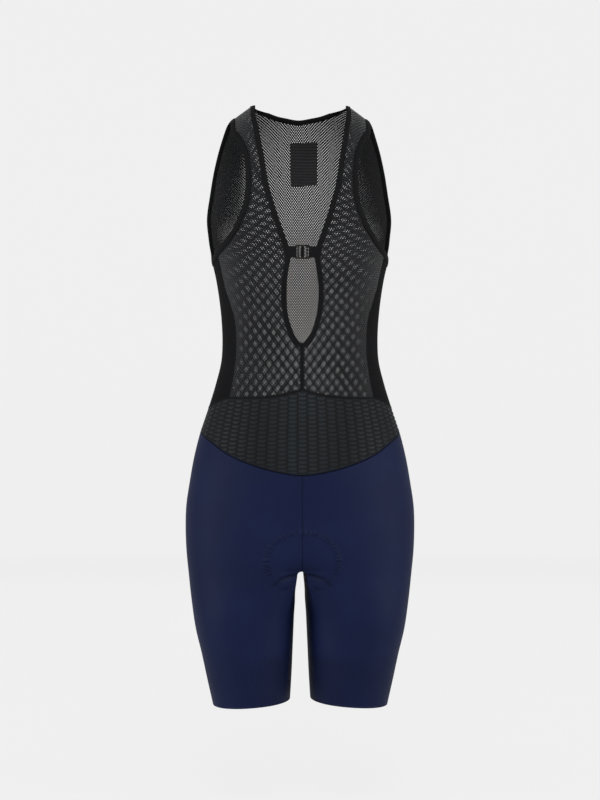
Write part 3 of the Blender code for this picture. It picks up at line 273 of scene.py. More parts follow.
def crest_height(x):
    """Height of the shoulder crest: a straight fall outwards, rounded at the centre."""
    return SHOULDER_SLOPE * (math.hypot(CREST_X, SLOPE_ROUNDING) - np.hypot(x, SLOPE_ROUNDING))


def rise_to_level(rise):
    """Level and depth share at a rise: straight below the bust, a superellipse above."""
    radius = -BUST_LEVEL
    turn = np.clip(rise, 0, None) / radius
    size = (np.abs(np.sin(turn))**DOME_POWER + np.abs(np.cos(turn))**DOME_POWER)**(1 / DOME_POWER)
    level = BUST_LEVEL + np.where(rise > 0, radius * np.sin(turn) / size, rise)
    depth = np.where(rise > 0, np.cos(turn) / size, 1.0)
    return level, depth


def level_to_rise(level):
    """The reverse of rise_to_level."""
    radius = -BUST_LEVEL
    share = np.clip((np.asarray(level, dtype=float) - BUST_LEVEL) / radius, 0, 1)
    depth = (1 - share**DOME_POWER)**(1 / DOME_POWER)
    return np.where(level > BUST_LEVEL, radius * np.arctan2(share, depth), level - BUST_LEVEL)


def figure_point(angle, rise):
    """A point of the figure: a superellipse section, its depth shrunk by the dome."""
    level, depth = rise_to_level(rise)
    figure = smooth_table(FIGURE, level)
    reach = np.where(np.sin(angle) > 0, figure[..., 1], figure[..., 2])
    power = figure[..., 3]
    cosine = np.cos(angle)
    sine = np.sin(angle)
    radius = (np.abs(cosine / figure[..., 0])**power + np.abs(sine / reach)**power)**(-1 / power)
    x = radius * cosine
    share = np.clip((level - BUST_LEVEL) / -BUST_LEVEL, 0, 1)
    return np.stack([x, -radius * sine * depth, level + share * crest_height(x)], axis=-1)


def figure_slopes(angle, rise):
    """A figure point's changes with the angle and the rise, by central differences."""
    turn = 1e-4
    lift = 0.02
    by_angle = (figure_point(angle + turn, rise) - figure_point(angle - turn, rise)) / (2 * turn)
    by_rise = (figure_point(angle, rise + lift) - figure_point(angle, rise - lift)) / (2 * lift)
    return by_angle, by_rise


def unit(vectors):
    """Vectors at length one."""
    return vectors / np.maximum(np.linalg.norm(vectors, axis=-1, keepdims=True), 1e-12)


def figure_normal(angle, rise):
    """The figure's outward direction: square to both of its slopes."""
    by_angle, by_rise = figure_slopes(angle, rise)
    return unit(np.cross(by_rise, by_angle))


def on_skin(places):
    """Points and outward directions of the figure at angles and rises."""
    angle, rise = places[..., 0], places[..., 1]
    return figure_point(angle, rise), figure_normal(angle, rise)


def on_figure(distance, level, side):
    """Angle and rise on the -X half at a distance from the centre, by the section's formula."""
    level = np.asarray(level, dtype=float)
    figure = smooth_table(FIGURE, level)
    power = figure[..., 3]
    share = np.clip(np.asarray(distance, dtype=float) / figure[..., 0], 0, 1)
    reach = (1 - share**power)**(1 / power)
    if side == "front":
        angle = np.arctan2(figure[..., 1] * reach, -share * figure[..., 0])
    else:
        angle = TAU - np.arctan2(figure[..., 2] * reach, -share * figure[..., 0])
    return np.stack([angle, level_to_rise(level)], axis=-1)


def rows_on_figure(rows, side):
    """A seam table of (level, distance) rows as angle and rise."""
    table = np.array(rows, dtype=float)
    return on_figure(table[:, 1], table[:, 0], side)


# ======== seam lines
def dense_line(points):
    """Many points on a smooth line through a few, as angle and rise."""
    spots = figure_point(*points.T)
    chords = np.linalg.norm(np.diff(spots, axis=0), axis=1)
    along = np.concatenate([[0], np.cumsum(chords)])
    return smooth_table(np.column_stack([along, points]).tolist(), np.linspace(0, along[-1], DENSE))


def centred_line(points, turn):
    """The -X half of a smooth line that crosses the centre square to it, on into its mirror
    image; turn is the sum of the angles of a point and its mirror image."""
    other = np.column_stack([turn - points[-2::-1, 0], points[-2::-1, 1]])
    return dense_line(np.vstack([points, other]))[:DENSE // 2 + 1]


def length_along(spots):
    """How far along a line of points each one lies."""
    return np.concatenate([[0], np.cumsum(np.linalg.norm(np.diff(spots, axis=0), axis=1))])


def length_shares(line):
    """The same as a share of the real length of a line of angles and rises."""
    along = length_along(figure_point(*line.T))
    return along / along[-1]


def stations(line, count, start=0.0, end=1.0):
    """count + 1 points, evenly spaced in real length, on a dense line between two shares."""
    along = length_shares(line)
    at = np.linspace(start, end, count + 1)
    return np.column_stack([np.interp(at, along, line[:, k]) for k in range(2)])


def joined_stations(line, shares, counts):
    """Stations whose runs between the given shares have their own counts."""
    runs = [stations(line, count, *shares[k:k + 2]) for k, count in enumerate(counts)]
    return np.vstack([runs[0], *(run[1:] for run in runs[1:])])


def move_across(line, width):
    """A line moved sideways on the figure, to the left of its run seen from outside: each step
    is solved for the angle and the rise whose slopes add up to it."""
    moved = line.copy()
    run = unit(np.gradient(figure_point(*line.T), axis=0))
    across = unit(np.cross(figure_normal(*line.T), run))
    step = width / MOVE_STEPS
    for _ in range(MOVE_STEPS):
        by_angle, by_rise = figure_slopes(*moved.T)
        aa, ar, rr, ca, cr = (np.sum(one * other, axis=1) for one, other in (
            (by_angle, by_angle), (by_angle, by_rise), (by_rise, by_rise),
            (across, by_angle), (across, by_rise)))
        spread = aa * rr - ar * ar
        moved[:, 0] += step * (ca * rr - cr * ar) / spread
        moved[:, 1] += step * (cr * aa - ca * ar) / spread
    return moved


def nearest_share(line, point):
    """The share of a dense line's length at which it passes nearest to a point."""
    spots = figure_point(*line.T)
    target = figure_point(*point)
    return length_shares(line)[np.argmin(np.linalg.norm(spots - target, axis=1))]


def waist_line(column):
    """The waist panel's top (1) or bottom (2) line, from centre front to centre back."""
    front = [on_figure(row[0], row[column], "front") for row in WAIST_FRONT]
    side = [np.array([math.pi, float(level_to_rise(WAIST_SIDE[column - 1]))])]
    back = [on_figure(row[0], row[column], "back") for row in WAIST_BACK]
    return dense_line(np.array(front + side + back))


def over_the_crest(point):
    """The back's angle and rise for a front point on the shoulder crest."""
    distance = -float(figure_point(*point)[0])
    return on_figure(distance, 0.0, "back")


def seam_stations():
    """Every seam line's stations on the -X half, shared by the pieces beside it."""
    top_rise = float(level_to_rise(0.0))

    # neck edge and the outer edge of its binding, from the crest down
    neck = stations(centred_line(rows_on_figure(NECK_EDGE, "front"), math.pi), NECK_ROWS)
    neck_outer = move_across(neck, -NECK_BAND)
    neck_outer[0, 1] = top_rise
    neck_outer[-1, 0] = math.pi / 2
    back_neck = stations(centred_line(rows_on_figure(BACK_NECK, "back"), 3 * math.pi),
                         BACK_NECK_COLUMNS)
    back_outer = move_across(back_neck, NECK_BAND)
    back_outer[0] = over_the_crest(neck_outer[0])
    back_outer[-1, 0] = 3 * math.pi / 2

    # armhole, from the crest down the front, under the arm and up the back
    foot = np.array([[math.radians(turn), float(level_to_rise(level))] for level, turn in ARM_FOOT])
    loop = dense_line(np.vstack([rows_on_figure(ARM_FRONT, "front"), foot,
                                 rows_on_figure(ARM_BACK, "back")]))
    loop_outer = move_across(loop, ARM_BAND)
    seams = ((FRONT_SEAM, "front"), (BACK_SEAM, "back"))
    corners = [nearest_share(loop_outer, rows_on_figure(rows[:1], side)[0]) for rows, side in seams]
    arm = joined_stations(loop, (0, *corners, 1), (ARM_FRONT_ROWS, SIDE_COLUMNS, ARM_BACK_ROWS))
    arm_outer = move_across(arm, ARM_BAND)
    arm_outer[0, 1] = top_rise
    arm_outer[-1] = over_the_crest(arm_outer[0])

    # waist panel
    top, bottom = waist_line(1), waist_line(2)
    feet = [rows_on_figure(rows[-1:], side)[0, 0] for rows, side in seams]
    shares = [nearest_share(top, (angle, np.interp(angle, *top.T))) for angle in feet]
    waist = joined_stations(top, (0, *shares, 1),
                            (FRONT_COLUMNS, SIDE_COLUMNS, CREST_COLUMNS + BACK_NECK_COLUMNS))
    lines = {"neck edge": neck, "neck seam": neck_outer, "back neck edge": back_neck,
             "back neck seam": back_outer, "arm edge": arm, "arm seam": arm_outer,
             "waist top": waist,
             "waist bottom": np.column_stack([waist[:, 0], np.interp(waist[:, 0], *bottom.T)])}

    # seams of the side panel: from the armhole binding to the waist panel
    for (rows, side), past in zip(seams, (0, SIDE_COLUMNS)):
        points = np.vstack([arm_outer[ARM_FRONT_ROWS + past], rows_on_figure(rows[1:-1], side),
                            waist[FRONT_COLUMNS + past]])
        lines[side + " seam"] = stations(dense_line(points), SEAM_ROWS)
    return lines


def all_round(name):
    """A line of the -X half all round: its mirror image from its end, then the line."""
    line = LINES[name]
    return np.vstack([np.column_stack([math.pi - line[::-1, 0], line[::-1, 1]]), line[1:]])


LINES = seam_stations()  # ======== grids
def refine(line):
    """A line with REFINE steps between each two of its points."""
    fine = np.arange((len(line) - 1) * REFINE + 1) / REFINE
    return np.column_stack([np.interp(fine, np.arange(len(line)), line[:, k]) for k in range(2)])


def coons(top, bottom, left, right):
    """A grid between four lines: top and bottom's plus the sides' less the corners'."""
    across = np.linspace(0, 1, len(top))[None, :, None]
    down = np.linspace(0, 1, len(left))[:, None, None]
    rows = (1 - down) * top[None] + down * bottom[None]
    columns = (1 - across) * left[:, None] + across * right[:, None]
    corners = ((1 - down) * ((1 - across) * top[0] + across * top[-1])
               + down * ((1 - across) * bottom[0] + across * bottom[-1]))
    return rows + columns - corners


def patch(top, bottom, left, right):
    """A Coons grid whose columns are spaced by real length, as its left and right lines are."""
    fine = coons(top, bottom, refine(left), refine(right))
    left_shares = length_shares(refine(left))[::REFINE]
    right_shares = length_shares(refine(right))[::REFINE]
    grid = np.empty((len(left), len(top), 2))
    for column in range(len(top)):
        near_right = column / (len(top) - 1)
        wanted = (1 - near_right) * left_shares + near_right * right_shares
        along = length_shares(fine[:, column])
        for k in range(2):
            grid[:, column, k] = np.interp(wanted, along, fine[:, column, k])
    return grid


def lengths_over(points, axis):
    """Real distance from the first point of each row or column of a grid."""
    steps = np.linalg.norm(np.diff(points, axis=axis), axis=-1)
    start = np.zeros_like(np.take(steps, [0], axis=axis))
    return np.concatenate([start, np.cumsum(steps, axis=axis)], axis=axis)


def smooth_step(value):
    """0 below 0, 1 above 1, level at both ends: 3 v squared less 2 v cubed."""
    value = np.clip(value, 0, 1)
    return value * value * (3 - 2 * value)


def four_corners(grid):
    """The four corners of each cell of a grid, once round."""
    return np.stack([grid[:-1, :-1], grid[:-1, 1:], grid[1:, 1:], grid[1:, :-1]], axis=2)


def pairs(across, down):
    """A grid of places from what runs across it and what runs down it."""
    return np.stack(np.broadcast_arrays(across, down), axis=-1)


def square_to(run):
    """Directions in the centre plane, square to runs in it."""
    return unit(np.stack([np.zeros(len(run)), run[:, 2], -run[:, 1]], axis=1))


def vertex_normals(points, quads):
    """Mean outward direction of the faces round each point."""
    face = np.cross(points[quads[:, 2]] - points[quads[:, 0]],
                    points[quads[:, 3]] - points[quads[:, 1]])
    total = np.zeros_like(points)
    for k in range(4):
        np.add.at(total, quads[:, k], face)
    return unit(total)


def ripple(x, y, seed):
    """Irregular waves from -1 to 1: the mean of five slanted sines with seeded phases."""
    numbers = np.random.default_rng(seed)
    total = 0
    for _ in range(5):
        a, b, phase = numbers.uniform(-1, 1), numbers.uniform(-1, 1), numbers.uniform(0, TAU)
        total = total + np.sin(a * x + b * y + phase)
    return total / 5


# ======== meshes
class Cut:
    """Gathers grids of points into one mesh with two UV maps: OFBake is the piece laid flat
    without overlaps, and Cloth is the same surface in millimetres, which the weaves follow.
    """

    def __init__(self):
        self.points, self.relief, self.quads, self.bake, self.cloth = [], [], [], [], []
        self.count = 0

    def spots(self, points, relief=0.0):
        """Adds points and returns their numbers in the same arrangement."""
        points = np.asarray(points, dtype=float)
        flat = points.reshape(-1, 3)
        numbers = self.count + np.arange(len(flat)).reshape(points.shape[:-1])
        self.points.append(flat)
        self.relief.append(np.broadcast_to(relief, points.shape[:-1]).reshape(-1))
        self.count += len(flat)
        return numbers

    def patch(self, numbers, bake, cloth, flip=False):
        """Adds the faces of a grid of point numbers: each takes four neighbours."""
        turn = -1 if flip else 1
        self.quads.append(four_corners(numbers).reshape(-1, 4)[:, ::turn])
        self.bake.append(four_corners(bake).reshape(-1, 4, 2)[:, ::turn])
        self.cloth.append(four_corners(cloth).reshape(-1, 4, 2)[:, ::turn])

    def build(self, name, material, closed=True, weld=0.0):
        """Makes the object; a closed mesh is turned so that its volume is positive."""
        points, quads, bake, cloth = (
            np.concatenate(rows) for rows in (self.points, self.quads, self.bake, self.cloth))
        if closed:
            a, b, c, d = (points[quads[:, k]] for k in range(4))
            volume = np.sum(np.cross(b - a, c - a) * a) + np.sum(np.cross(c - a, d - a) * a)
            if volume < 0:
                quads, bake, cloth = quads[:, ::-1], bake[:, ::-1], cloth[:, ::-1]
        mesh = bpy.data.meshes.new(name)
        mesh.vertices.add(len(points))
        mesh.vertices.foreach_set("co", (points * MM).astype(np.float32).ravel())
        mesh.loops.add(quads.size)
        mesh.loops.foreach_set("vertex_index", quads.astype(np.int32).ravel())
        mesh.polygons.add(len(quads))
        mesh.polygons.foreach_set("loop_start", np.arange(0, quads.size, 4, dtype=np.int32))
        for label, places in (("OFBake", bake), ("Cloth", cloth)):
            layer = mesh.uv_layers.new(name=label)
            layer.uv.foreach_set("vector", places.astype(np.float32).ravel())
        height = mesh.attributes.new("relief", "FLOAT", "POINT")
        height.data.foreach_set("value", np.concatenate(self.relief).astype(np.float32))
        mesh.update(calc_edges=True)
        mesh.validate()
        mesh.materials.append(material)
        if weld:
            joined = bmesh.new()
            joined.from_mesh(mesh)
            bmesh.ops.remove_doubles(joined, verts=joined.verts, dist=weld * MM)
            bmesh.ops.dissolve_degenerate(joined, edges=joined.edges, dist=weld * MM / 10)
            joined.to_mesh(mesh)
            joined.free()
        mesh.shade_smooth()
        return placed(name, mesh)


def placed(name, data):
    """A new object in the scene."""
    thing = bpy.data.objects.new(name, data)
    bpy.context.scene.collection.objects.link(thing)
    return thing


def spread(low, high, shape):
    """A grid of places on a UV map between two corners, its first row on top."""
    return pairs(np.linspace(low[0], high[0], shape[1]), np.linspace(high[1], low[1], shape[0])[:, None])


def rim_numbers(rows, columns):
    """Row and column of each point of a grid's edge, once round and back to the first."""
    row = np.concatenate([np.zeros(columns - 1), np.arange(rows - 1),
                          np.full(columns - 1, rows - 1), np.arange(rows - 1, 0, -1), [0]])
    column = np.concatenate([np.arange(columns - 1), np.full(rows - 1, columns - 1),
                             np.arange(columns - 1, 0, -1), np.zeros(rows - 1), [0]])
    return row.astype(int), column.astype(int)


def add_wall(cut, outer, inner, cloth, relief=0.0, beside=False):
    """A closed cloth wall between two grids.  Its rounded edge is a line half way between the
    skins, a little further out.  They lie above or beside each other on OFBake."""
    rows, columns = outer.shape[:2]
    low, high = BAKE_MARGIN, 1 - BAKE_MARGIN
    if beside:
        boxes = (((low, low), (high - 0.5, high)), ((low + 0.5, low), (high, high)))
    else:
        boxes = (((low, low + 0.5), (high, high)), ((low, low), (high, high - 0.5)))
    row, column = rim_numbers(rows, columns)
    away = outer[row, column] - outer[np.clip(row, 1, rows - 2), np.clip(column, 1, columns - 2)]
    middle = (outer[row, column] + inner[row, column]) / 2 + RIM_ROUND * unit(away)
    edge = cut.spots(middle[:-1])
    edge = np.append(edge, edge[0])
    step = np.stack([(column == columns - 1) * 1.0 - (column == 0),
                     (row == 0) * 1.0 - (row == rows - 1)], axis=-1) * BAKE_MARGIN / 2
    for skin, box, flip in ((outer, boxes[0], False), (inner, boxes[1], True)):
        numbers = cut.spots(skin, relief)
        bake = spread(*box, (rows, columns))
        cut.patch(numbers, bake, cloth, flip)
        rim_bake = np.stack([bake[row, column], bake[row, column] + step])
        cut.patch(np.stack([numbers[row, column], edge]), rim_bake,
                  np.stack([cloth[row, column]] * 2), not flip)


def pull_in(points, distance):
    """Moves a grid's edge rows and columns in by a distance, on their own surface."""
    moved = points.copy()
    moved[0] += distance * unit(points[1] - points[0])
    moved[-1] += distance * unit(points[-2] - points[-1])
    moved[:, 0] += distance * unit(points[:, 1] - points[:, 0])
    moved[:, -1] += distance * unit(points[:, -2] - points[:, -1])
    return moved


def panel(grid, lift=0.0):
    """Outer and inner points and Cloth places of a panel from a grid of angles and rises."""
    points, normals = on_skin(grid)
    cloth = np.stack([lengths_over(points, 1), -lengths_over(points, 0)], axis=-1)
    outer = pull_in(points, HALF_GAP + RIM_ROUND)
    inner = outer - WALL * normals
    outer = outer + lift * normals
    outer[[0, -1]] -= RIM_DIP * normals[[0, -1]]
    outer[1:-1, [0, -1]] -= RIM_DIP * normals[1:-1, [0, -1]]
    return outer, inner, cloth


def add_tube(cut, rings, closed, box=((0.01, 0.01), (0.99, 0.99)), relief=0.0):
    """Rings of points joined in a row along a path, its ends closed.  Rings that turn against
    the path are taken the other way, so that faces point outwards."""
    count, sides = rings.shape[:2]
    run = rings[1].mean(axis=0) - rings[0].mean(axis=0)
    arms = rings[0] - rings[0].mean(axis=0)
    if np.cross(arms, np.roll(arms, -1, axis=0)).sum(axis=0) @ run < 0:
        rings = rings[:, ::-1]
        relief = np.broadcast_to(relief, (count, sides))[:, ::-1]
    numbers = cut.spots(rings, relief)
    around = np.append(np.arange(sides), 0)
    along = np.append(np.arange(count), 0) if closed else np.arange(count)
    grid = numbers[along][:, around]
    length = length_along(rings[along].mean(axis=1))
    girth = length_along(rings[0][around])
    cloth = pairs(length[:, None], girth)
    low, high = np.array(box)
    size = high - low
    places = size * cloth / (length[-1], girth[-1])
    if closed:
        cut.patch(grid, low + places, cloth)
        return
    bake = low + places * (0.96, 1) + (0.02 * size[0], 0)
    cut.patch(grid, bake, cloth)
    for end, side in ((0, -1), (-1, 1)):
        middle = cut.spots(rings[end].mean(axis=0)[None])
        cap = np.stack([grid[end], np.repeat(middle, sides + 1)])
        cap_bake = np.stack([bake[end], bake[end] + (side * 0.015 * size[0], 0)])
        cut.patch(cap, cap_bake, np.stack([cloth[end]] * 2), flip=side > 0)


def bar_profile(half_wide, half_high, corner, turns=3):
    """A rectangle with a quarter circle at each corner, as the x and y of its points."""
    turn = np.linspace(0, math.pi / 2, turns + 1)[None] + np.arange(4)[:, None] * math.pi / 2
    right = np.array([1, -1, -1, 1])[:, None]
    up = np.array([1, 1, -1, -1])[:, None]
    return ((right * (half_wide - corner) + corner * np.cos(turn)).ravel(),
            (up * (half_high - corner) + corner * np.sin(turn)).ravel())


def round_corners(points, radius, closed=False, steps=6):
    """A path whose corners become curves from a radius before them to a radius after them,
    the weighted mean of those two spots and the corner."""
    points = np.asarray(points, dtype=float)
    before, corner, after = np.roll(points, 1, axis=0), points, np.roll(points, -1, axis=0)
    start = corner + radius * unit(before - corner)
    end = corner + radius * unit(after - corner)
    t = np.linspace(0, 1, steps + 1)[None, :, None]
    curves = (1 - t)**2 * start[:, None] + 2 * t * (1 - t) * corner[:, None] + t**2 * end[:, None]
    if closed:
        return curves.reshape(-1, 3)
    return np.vstack([points[:1], curves[1:-1].reshape(-1, 3), points[-1:]])


def sweep(path, up, wide, high, closed=False):
    """Rings of a profile along a path: its width stands across it, its height along up."""
    if closed:
        run = np.roll(path, -1, axis=0) - np.roll(path, 1, axis=0)
    else:
        run = np.gradient(path, axis=0)
    up = np.broadcast_to(up, path.shape)
    across = unit(np.cross(up, run))
    return path[:, None] + across[:, None] * wide[:, None] + up[:, None] * high[:, None]


def add_stitches(cut, spots, lift):
    """Stitches along lifted points of a cloth: square bars whose half size is 0.4, 1, 1 and 0.4
    of the full one, at the ends and a fifth of the length inside them."""
    long = sizes().stitch / MM
    path, normals = spots[0] + lift * spots[1], spots[1]
    along = length_along(path)
    count = max(2, int(along[-1] / long))

    def between_points(rows, at):
        """Rows of vectors along the path, mixed at the given lengths."""
        return np.stack([np.interp(at, along, rows[:, k]) for k in range(3)], axis=1)

    at = (np.arange(count) + 0.5) * along[-1] / count
    centre, up = between_points(path, at), between_points(normals, at)
    run = unit(between_points(path, at + 0.3) - between_points(path, at - 0.3))
    across = unit(np.cross(up, run))
    up = unit(np.cross(run, across))
    shift = np.array([-0.4, -0.24, 0.24, 0.4])[:, None, None] * long
    size = np.array([0.4, 1.0, 1.0, 0.4])[:, None]
    side = np.array([1.0, 0.0, -1.0, 0.0]) * size * STITCH_WIDE / 2
    rise = np.array([0.0, 1.0, 0.0, -1.0]) * size * STITCH_HIGH / 2 + 0.1
    centre, run, across, up = (rows[:, None, None] for rows in (centre, run, across, up))
    points = centre + run * shift + across * side[..., None] + up * rise[..., None]
    numbers = cut.spots(points, np.broadcast_to([0.0, 1.0, 0.0, 0.0], points.shape[:3]))
    a, b = numbers[:, :-1], numbers[:, 1:]
    walls = np.stack([a, np.roll(a, -1, axis=2), np.roll(b, -1, axis=2), b], axis=-1)
    ends = np.stack([numbers[:, 0, ::-1], numbers[:, 3]], axis=1)
    cut.quads.append(np.concatenate([walls.reshape(count, 12, 4), ends], axis=1).reshape(-1, 4))
    grid = int(math.ceil(math.sqrt(count)))
    cell = np.stack([np.arange(count) % grid, np.arange(count) // grid], axis=-1)[:, None, None]
    slot = np.stack([np.arange(14) % 4, np.arange(14) // 4], axis=-1)[:, None]
    corner = np.array([(0.1, 0.1), (0.1, 0.9), (0.9, 0.9), (0.9, 0.1)])
    bake = (cell + (slot + corner) / 4) / grid
    cut.bake.append(bake.reshape(-1, 4, 2))
    cut.cloth.append((bake * grid * 4).reshape(-1, 4, 2))


def round_profile(sides, squareness):
    """A rounded square from -1 to 1: cosine and sine raised to a power."""
    turn = np.arange(sides) * TAU / sides
    cosine, sine = np.cos(turn), np.sin(turn)
    return (np.sign(cosine) * np.abs(cosine)**squareness,
            np.sign(sine) * np.abs(sine)**squareness)


def declare(thing, slot, *nodes):
    """Sets a piece's body and hides the nodes that it stands for; slot is not used."""
    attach(thing, "root")
    if nodes:
        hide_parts(*nodes)
    return thing


def mirrored(cut):
    """The same cut on the +X half."""
    other = Cut()
    other.points = [points * MIRROR for points in cut.points]
    other.relief, other.count = cut.relief, cut.count
    other.quads, other.bake, other.cloth = (
        [rows[:, ::-1] for rows in kept] for kept in (cut.quads, cut.bake, cut.cloth))
    return other


def both_halves(cut):
    """A cut of the -X half and its mirror image, each with the wearer's side."""
    return ("right", cut), ("left", mirrored(cut))


def wall_area(thing):
    """The cloth's area in a closed wall: half of its surface, in square metres."""
    areas = np.empty(len(thing.data.polygons))
    thing.data.polygons.foreach_get("area", areas)
    return float(areas.sum() / 2)


# ======== shader nodes
def wire(tree, value, socket):
    """Links an output to an input, or sets the input's own value."""
    if isinstance(value, bpy.types.NodeSocket):
        tree.links.new(value, socket)
    else:
        socket.default_value = value


def maths(tree, operation, *values):
    """A Math node's output."""
    node = tree.nodes.new("ShaderNodeMath")
    node.operation = operation
    for value, socket in zip(values, node.inputs):
        wire(tree, value, socket)
    return node.outputs[0]


def times(tree, first, second):
    """The product of two values."""
    return maths(tree, "MULTIPLY", first, second)


def parts(tree, place):
    """The three coordinates of a place."""
    node = tree.nodes.new("ShaderNodeSeparateXYZ")
    wire(tree, place, node.inputs[0])
    return node.outputs


def between(tree, value, low, high, to_low=0.0, to_high=1.0):
    """A value moved from one range to another, and held inside it."""
    node = tree.nodes.new("ShaderNodeMapRange")
    for socket, given in zip(node.inputs, (value, low, high, to_low, to_high)):
        wire(tree, given, socket)
    return node.outputs[0]


def noise(tree, vector, scale, detail=2.0, roughness=0.5):
    """A noise texture's value."""
    node = tree.nodes.new("ShaderNodeTexNoise")
    wire(tree, vector, node.inputs["Vector"])
    node.inputs["Scale"].default_value = scale
    node.inputs["Detail"].default_value = detail
    node.inputs["Roughness"].default_value = roughness
    return node.outputs["Fac"]


def mix_colour(tree, share, first, second):
    """A colour between two."""
    node = tree.nodes.new("ShaderNodeMix")
    node.data_type = "RGBA"
    wire(tree, share, node.inputs[0])
    wire(tree, first, node.inputs[6])
    wire(tree, second, node.inputs[7])
    return node.outputs[2]


def cloth_place(tree):
    """The Cloth map's places, in millimetres."""
    node = tree.nodes.new("ShaderNodeUVMap")
    node.uv_map = "Cloth"
    return node.outputs[0]


def object_place(tree):
    """Object coordinates, in metres."""
    return tree.nodes.new("ShaderNodeTexCoord").outputs["Object"]


def relief_value(tree):
    """The piece's relief attribute."""
    node = tree.nodes.new("ShaderNodeAttribute")
    node.attribute_name = "relief"
    return node.outputs["Fac"]


def group(name, inputs, outputs, build):
    """A shader node group, built once, from names and kinds of its sockets."""
    tree = bpy.data.node_groups.get(name)
    if tree:
        return tree
    tree = bpy.data.node_groups.new(name, "ShaderNodeTree")
    for way, sockets in (("INPUT", inputs), ("OUTPUT", outputs)):
        for label, kind in sockets.items():
            tree.interface.new_socket(label, in_out=way, socket_type="NodeSocket" + kind)
    start = tree.nodes.new("NodeGroupInput")
    end = tree.nodes.new("NodeGroupOutput")
    for label, value in build(tree, start.outputs).items():
        wire(tree, value, end.inputs[label])
    return tree


def use_group(tree, shared, **values):
    """Places a shared group in a material and sets its inputs."""
    node = tree.nodes.new("ShaderNodeGroup")
    node.node_tree = shared
    for label, value in values.items():
        wire(tree, value, node.inputs[label])
    return node.outputs


def knit_group():
    """Knitted loops: wales are rounded ridges, courses bend over them as chevrons."""
    def build(tree, start):
        x, y, _ = parts(tree, start["Place"])
        wale = maths(tree, "DIVIDE", x, start["Wale"])
        course = maths(tree, "DIVIDE", y, start["Course"])
        ridge = maths(tree, "ABSOLUTE", maths(tree, "SINE", times(tree, wale, math.pi)))
        bent = maths(tree, "ADD", course, times(tree, ridge, 0.45))
        loop = maths(tree, "ABSOLUTE", maths(tree, "SINE", times(tree, bent, math.pi)))
        height = maths(tree, "ADD", times(tree, ridge, 0.6), times(tree, loop, 0.4))
        # Shade is the loops' height as a share: materials use it to paint shade between the loops.
        return {"Height": height, "Shade": between(tree, height, 0.1, 0.9)}
    return group("knit_loops", {"Place": "Vector", "Wale": "Float", "Course": "Float"},
                 {"Height": "Float", "Shade": "Float"}, build)


def weave_group():
    """Crossed yarns: the product of two sines sets which one is on top."""
    def build(tree, start):
        warp, weft = (times(tree, maths(tree, "DIVIDE", side, start["Yarn"]), math.pi)
                      for side in tuple(parts(tree, start["Place"]))[:2])
        over = times(tree, maths(tree, "SINE", warp), maths(tree, "SINE", weft))
        height = maths(tree, "MULTIPLY_ADD", over, 0.5, 0.5)
        # Shade is the yarns' height as a share: materials use it to paint shade where the yarns lie
        # lower.
        return {"Height": height, "Shade": between(tree, height, 0.15, 0.85)}
    return group("crossed_yarns", {"Place": "Vector", "Yarn": "Float"},
                 {"Height": "Float", "Shade": "Float"}, build)


def lint_group():
    """Uneven dye by broad noise, and lint by the tips of fine noise."""
    def build(tree, start):
        dye = between(tree, noise(tree, start["Place"], 14.0, 4.0), 0.3, 0.7)
        fluff = between(tree, noise(tree, start["Place"], 900.0, 3.0, 0.7), 0.62, 0.78)
        worn = mix_colour(tree, times(tree, dye, start["Uneven"]), start["Colour"], start["Second"])
        return {"Colour": mix_colour(tree, times(tree, fluff, start["Lint"]), worn,
                                     (0.10, 0.10, 0.11, 1.0))}
    return group("dye_and_lint", {"Place": "Vector", "Colour": "Color", "Second": "Color",
                                  "Uneven": "Float", "Lint": "Float"}, {"Colour": "Color"}, build)


def dyed(tree, colour, dark, pale, uneven, lint):
    """A colour as cloth takes it: uneven between two shades, with a little lint."""
    return use_group(tree, lint_group(), Place=object_place(tree), Colour=shifted(colour, dark),
                     Second=shifted(colour, pale), Uneven=uneven, Lint=lint)["Colour"]


def darkened(tree, share, colour):
    """A colour of which a share is left and the rest is black."""
    return mix_colour(tree, share, BLACK, colour)


def knit(tree, wale, course):
    """The knitted loops' height and shade on the Cloth map."""
    return use_group(tree, knit_group(), Place=cloth_place(tree), Wale=wale, Course=course)


def finish_material(name, roughness, specular, sheen=0.0):
    """A new material, its tree and its shader with the uniform values set."""
    material = bpy.data.materials.new(name)
    material.use_nodes = True
    tree = material.node_tree
    shader = tree.nodes["Principled BSDF"]
    shader.inputs["Roughness"].default_value = roughness
    shader.inputs["Specular IOR Level"].default_value = specular
    shader.inputs["Sheen Weight"].default_value = sheen
    shader.inputs["Sheen Roughness"].default_value = 0.5
    return material, tree, shader


def add_bump(tree, shader, height, strength, distance):
    """Feeds a height in millimetres through a Bump node to the shader's normal."""
    node = tree.nodes.new("ShaderNodeBump")
    node.inputs["Strength"].default_value = strength
    node.inputs["Distance"].default_value = distance * MM
    wire(tree, height, node.inputs["Height"])
    wire(tree, node.outputs[0], shader.inputs["Normal"])


def shifted(colour, by):
    """A colour made lighter or darker by a factor, with its alpha."""
    return (*[min(1.0, value * by) for value in colour], 1.0)


def hem_ribs(tree):
    """Hollows between fine upright ribs near the hem, strongest towards the other leg: a mask for the
    bump and for painted shade.
    """
    x, _, level = parts(tree, object_place(tree))
    across = parts(tree, cloth_place(tree))[0]
    wave = maths(tree, "SINE", times(tree, across, TAU / RIB_PITCH))
    near_hem = between(tree, level, RIB_TOP * MM, (RIB_TOP - RIB_FADE) * MM)
    inner = between(tree, maths(tree, "ABSOLUTE", x), 0.100, 0.030, 0.2, 1.0)
    return times(tree, between(tree, wave, -0.4, 1), times(tree, near_hem, inner))


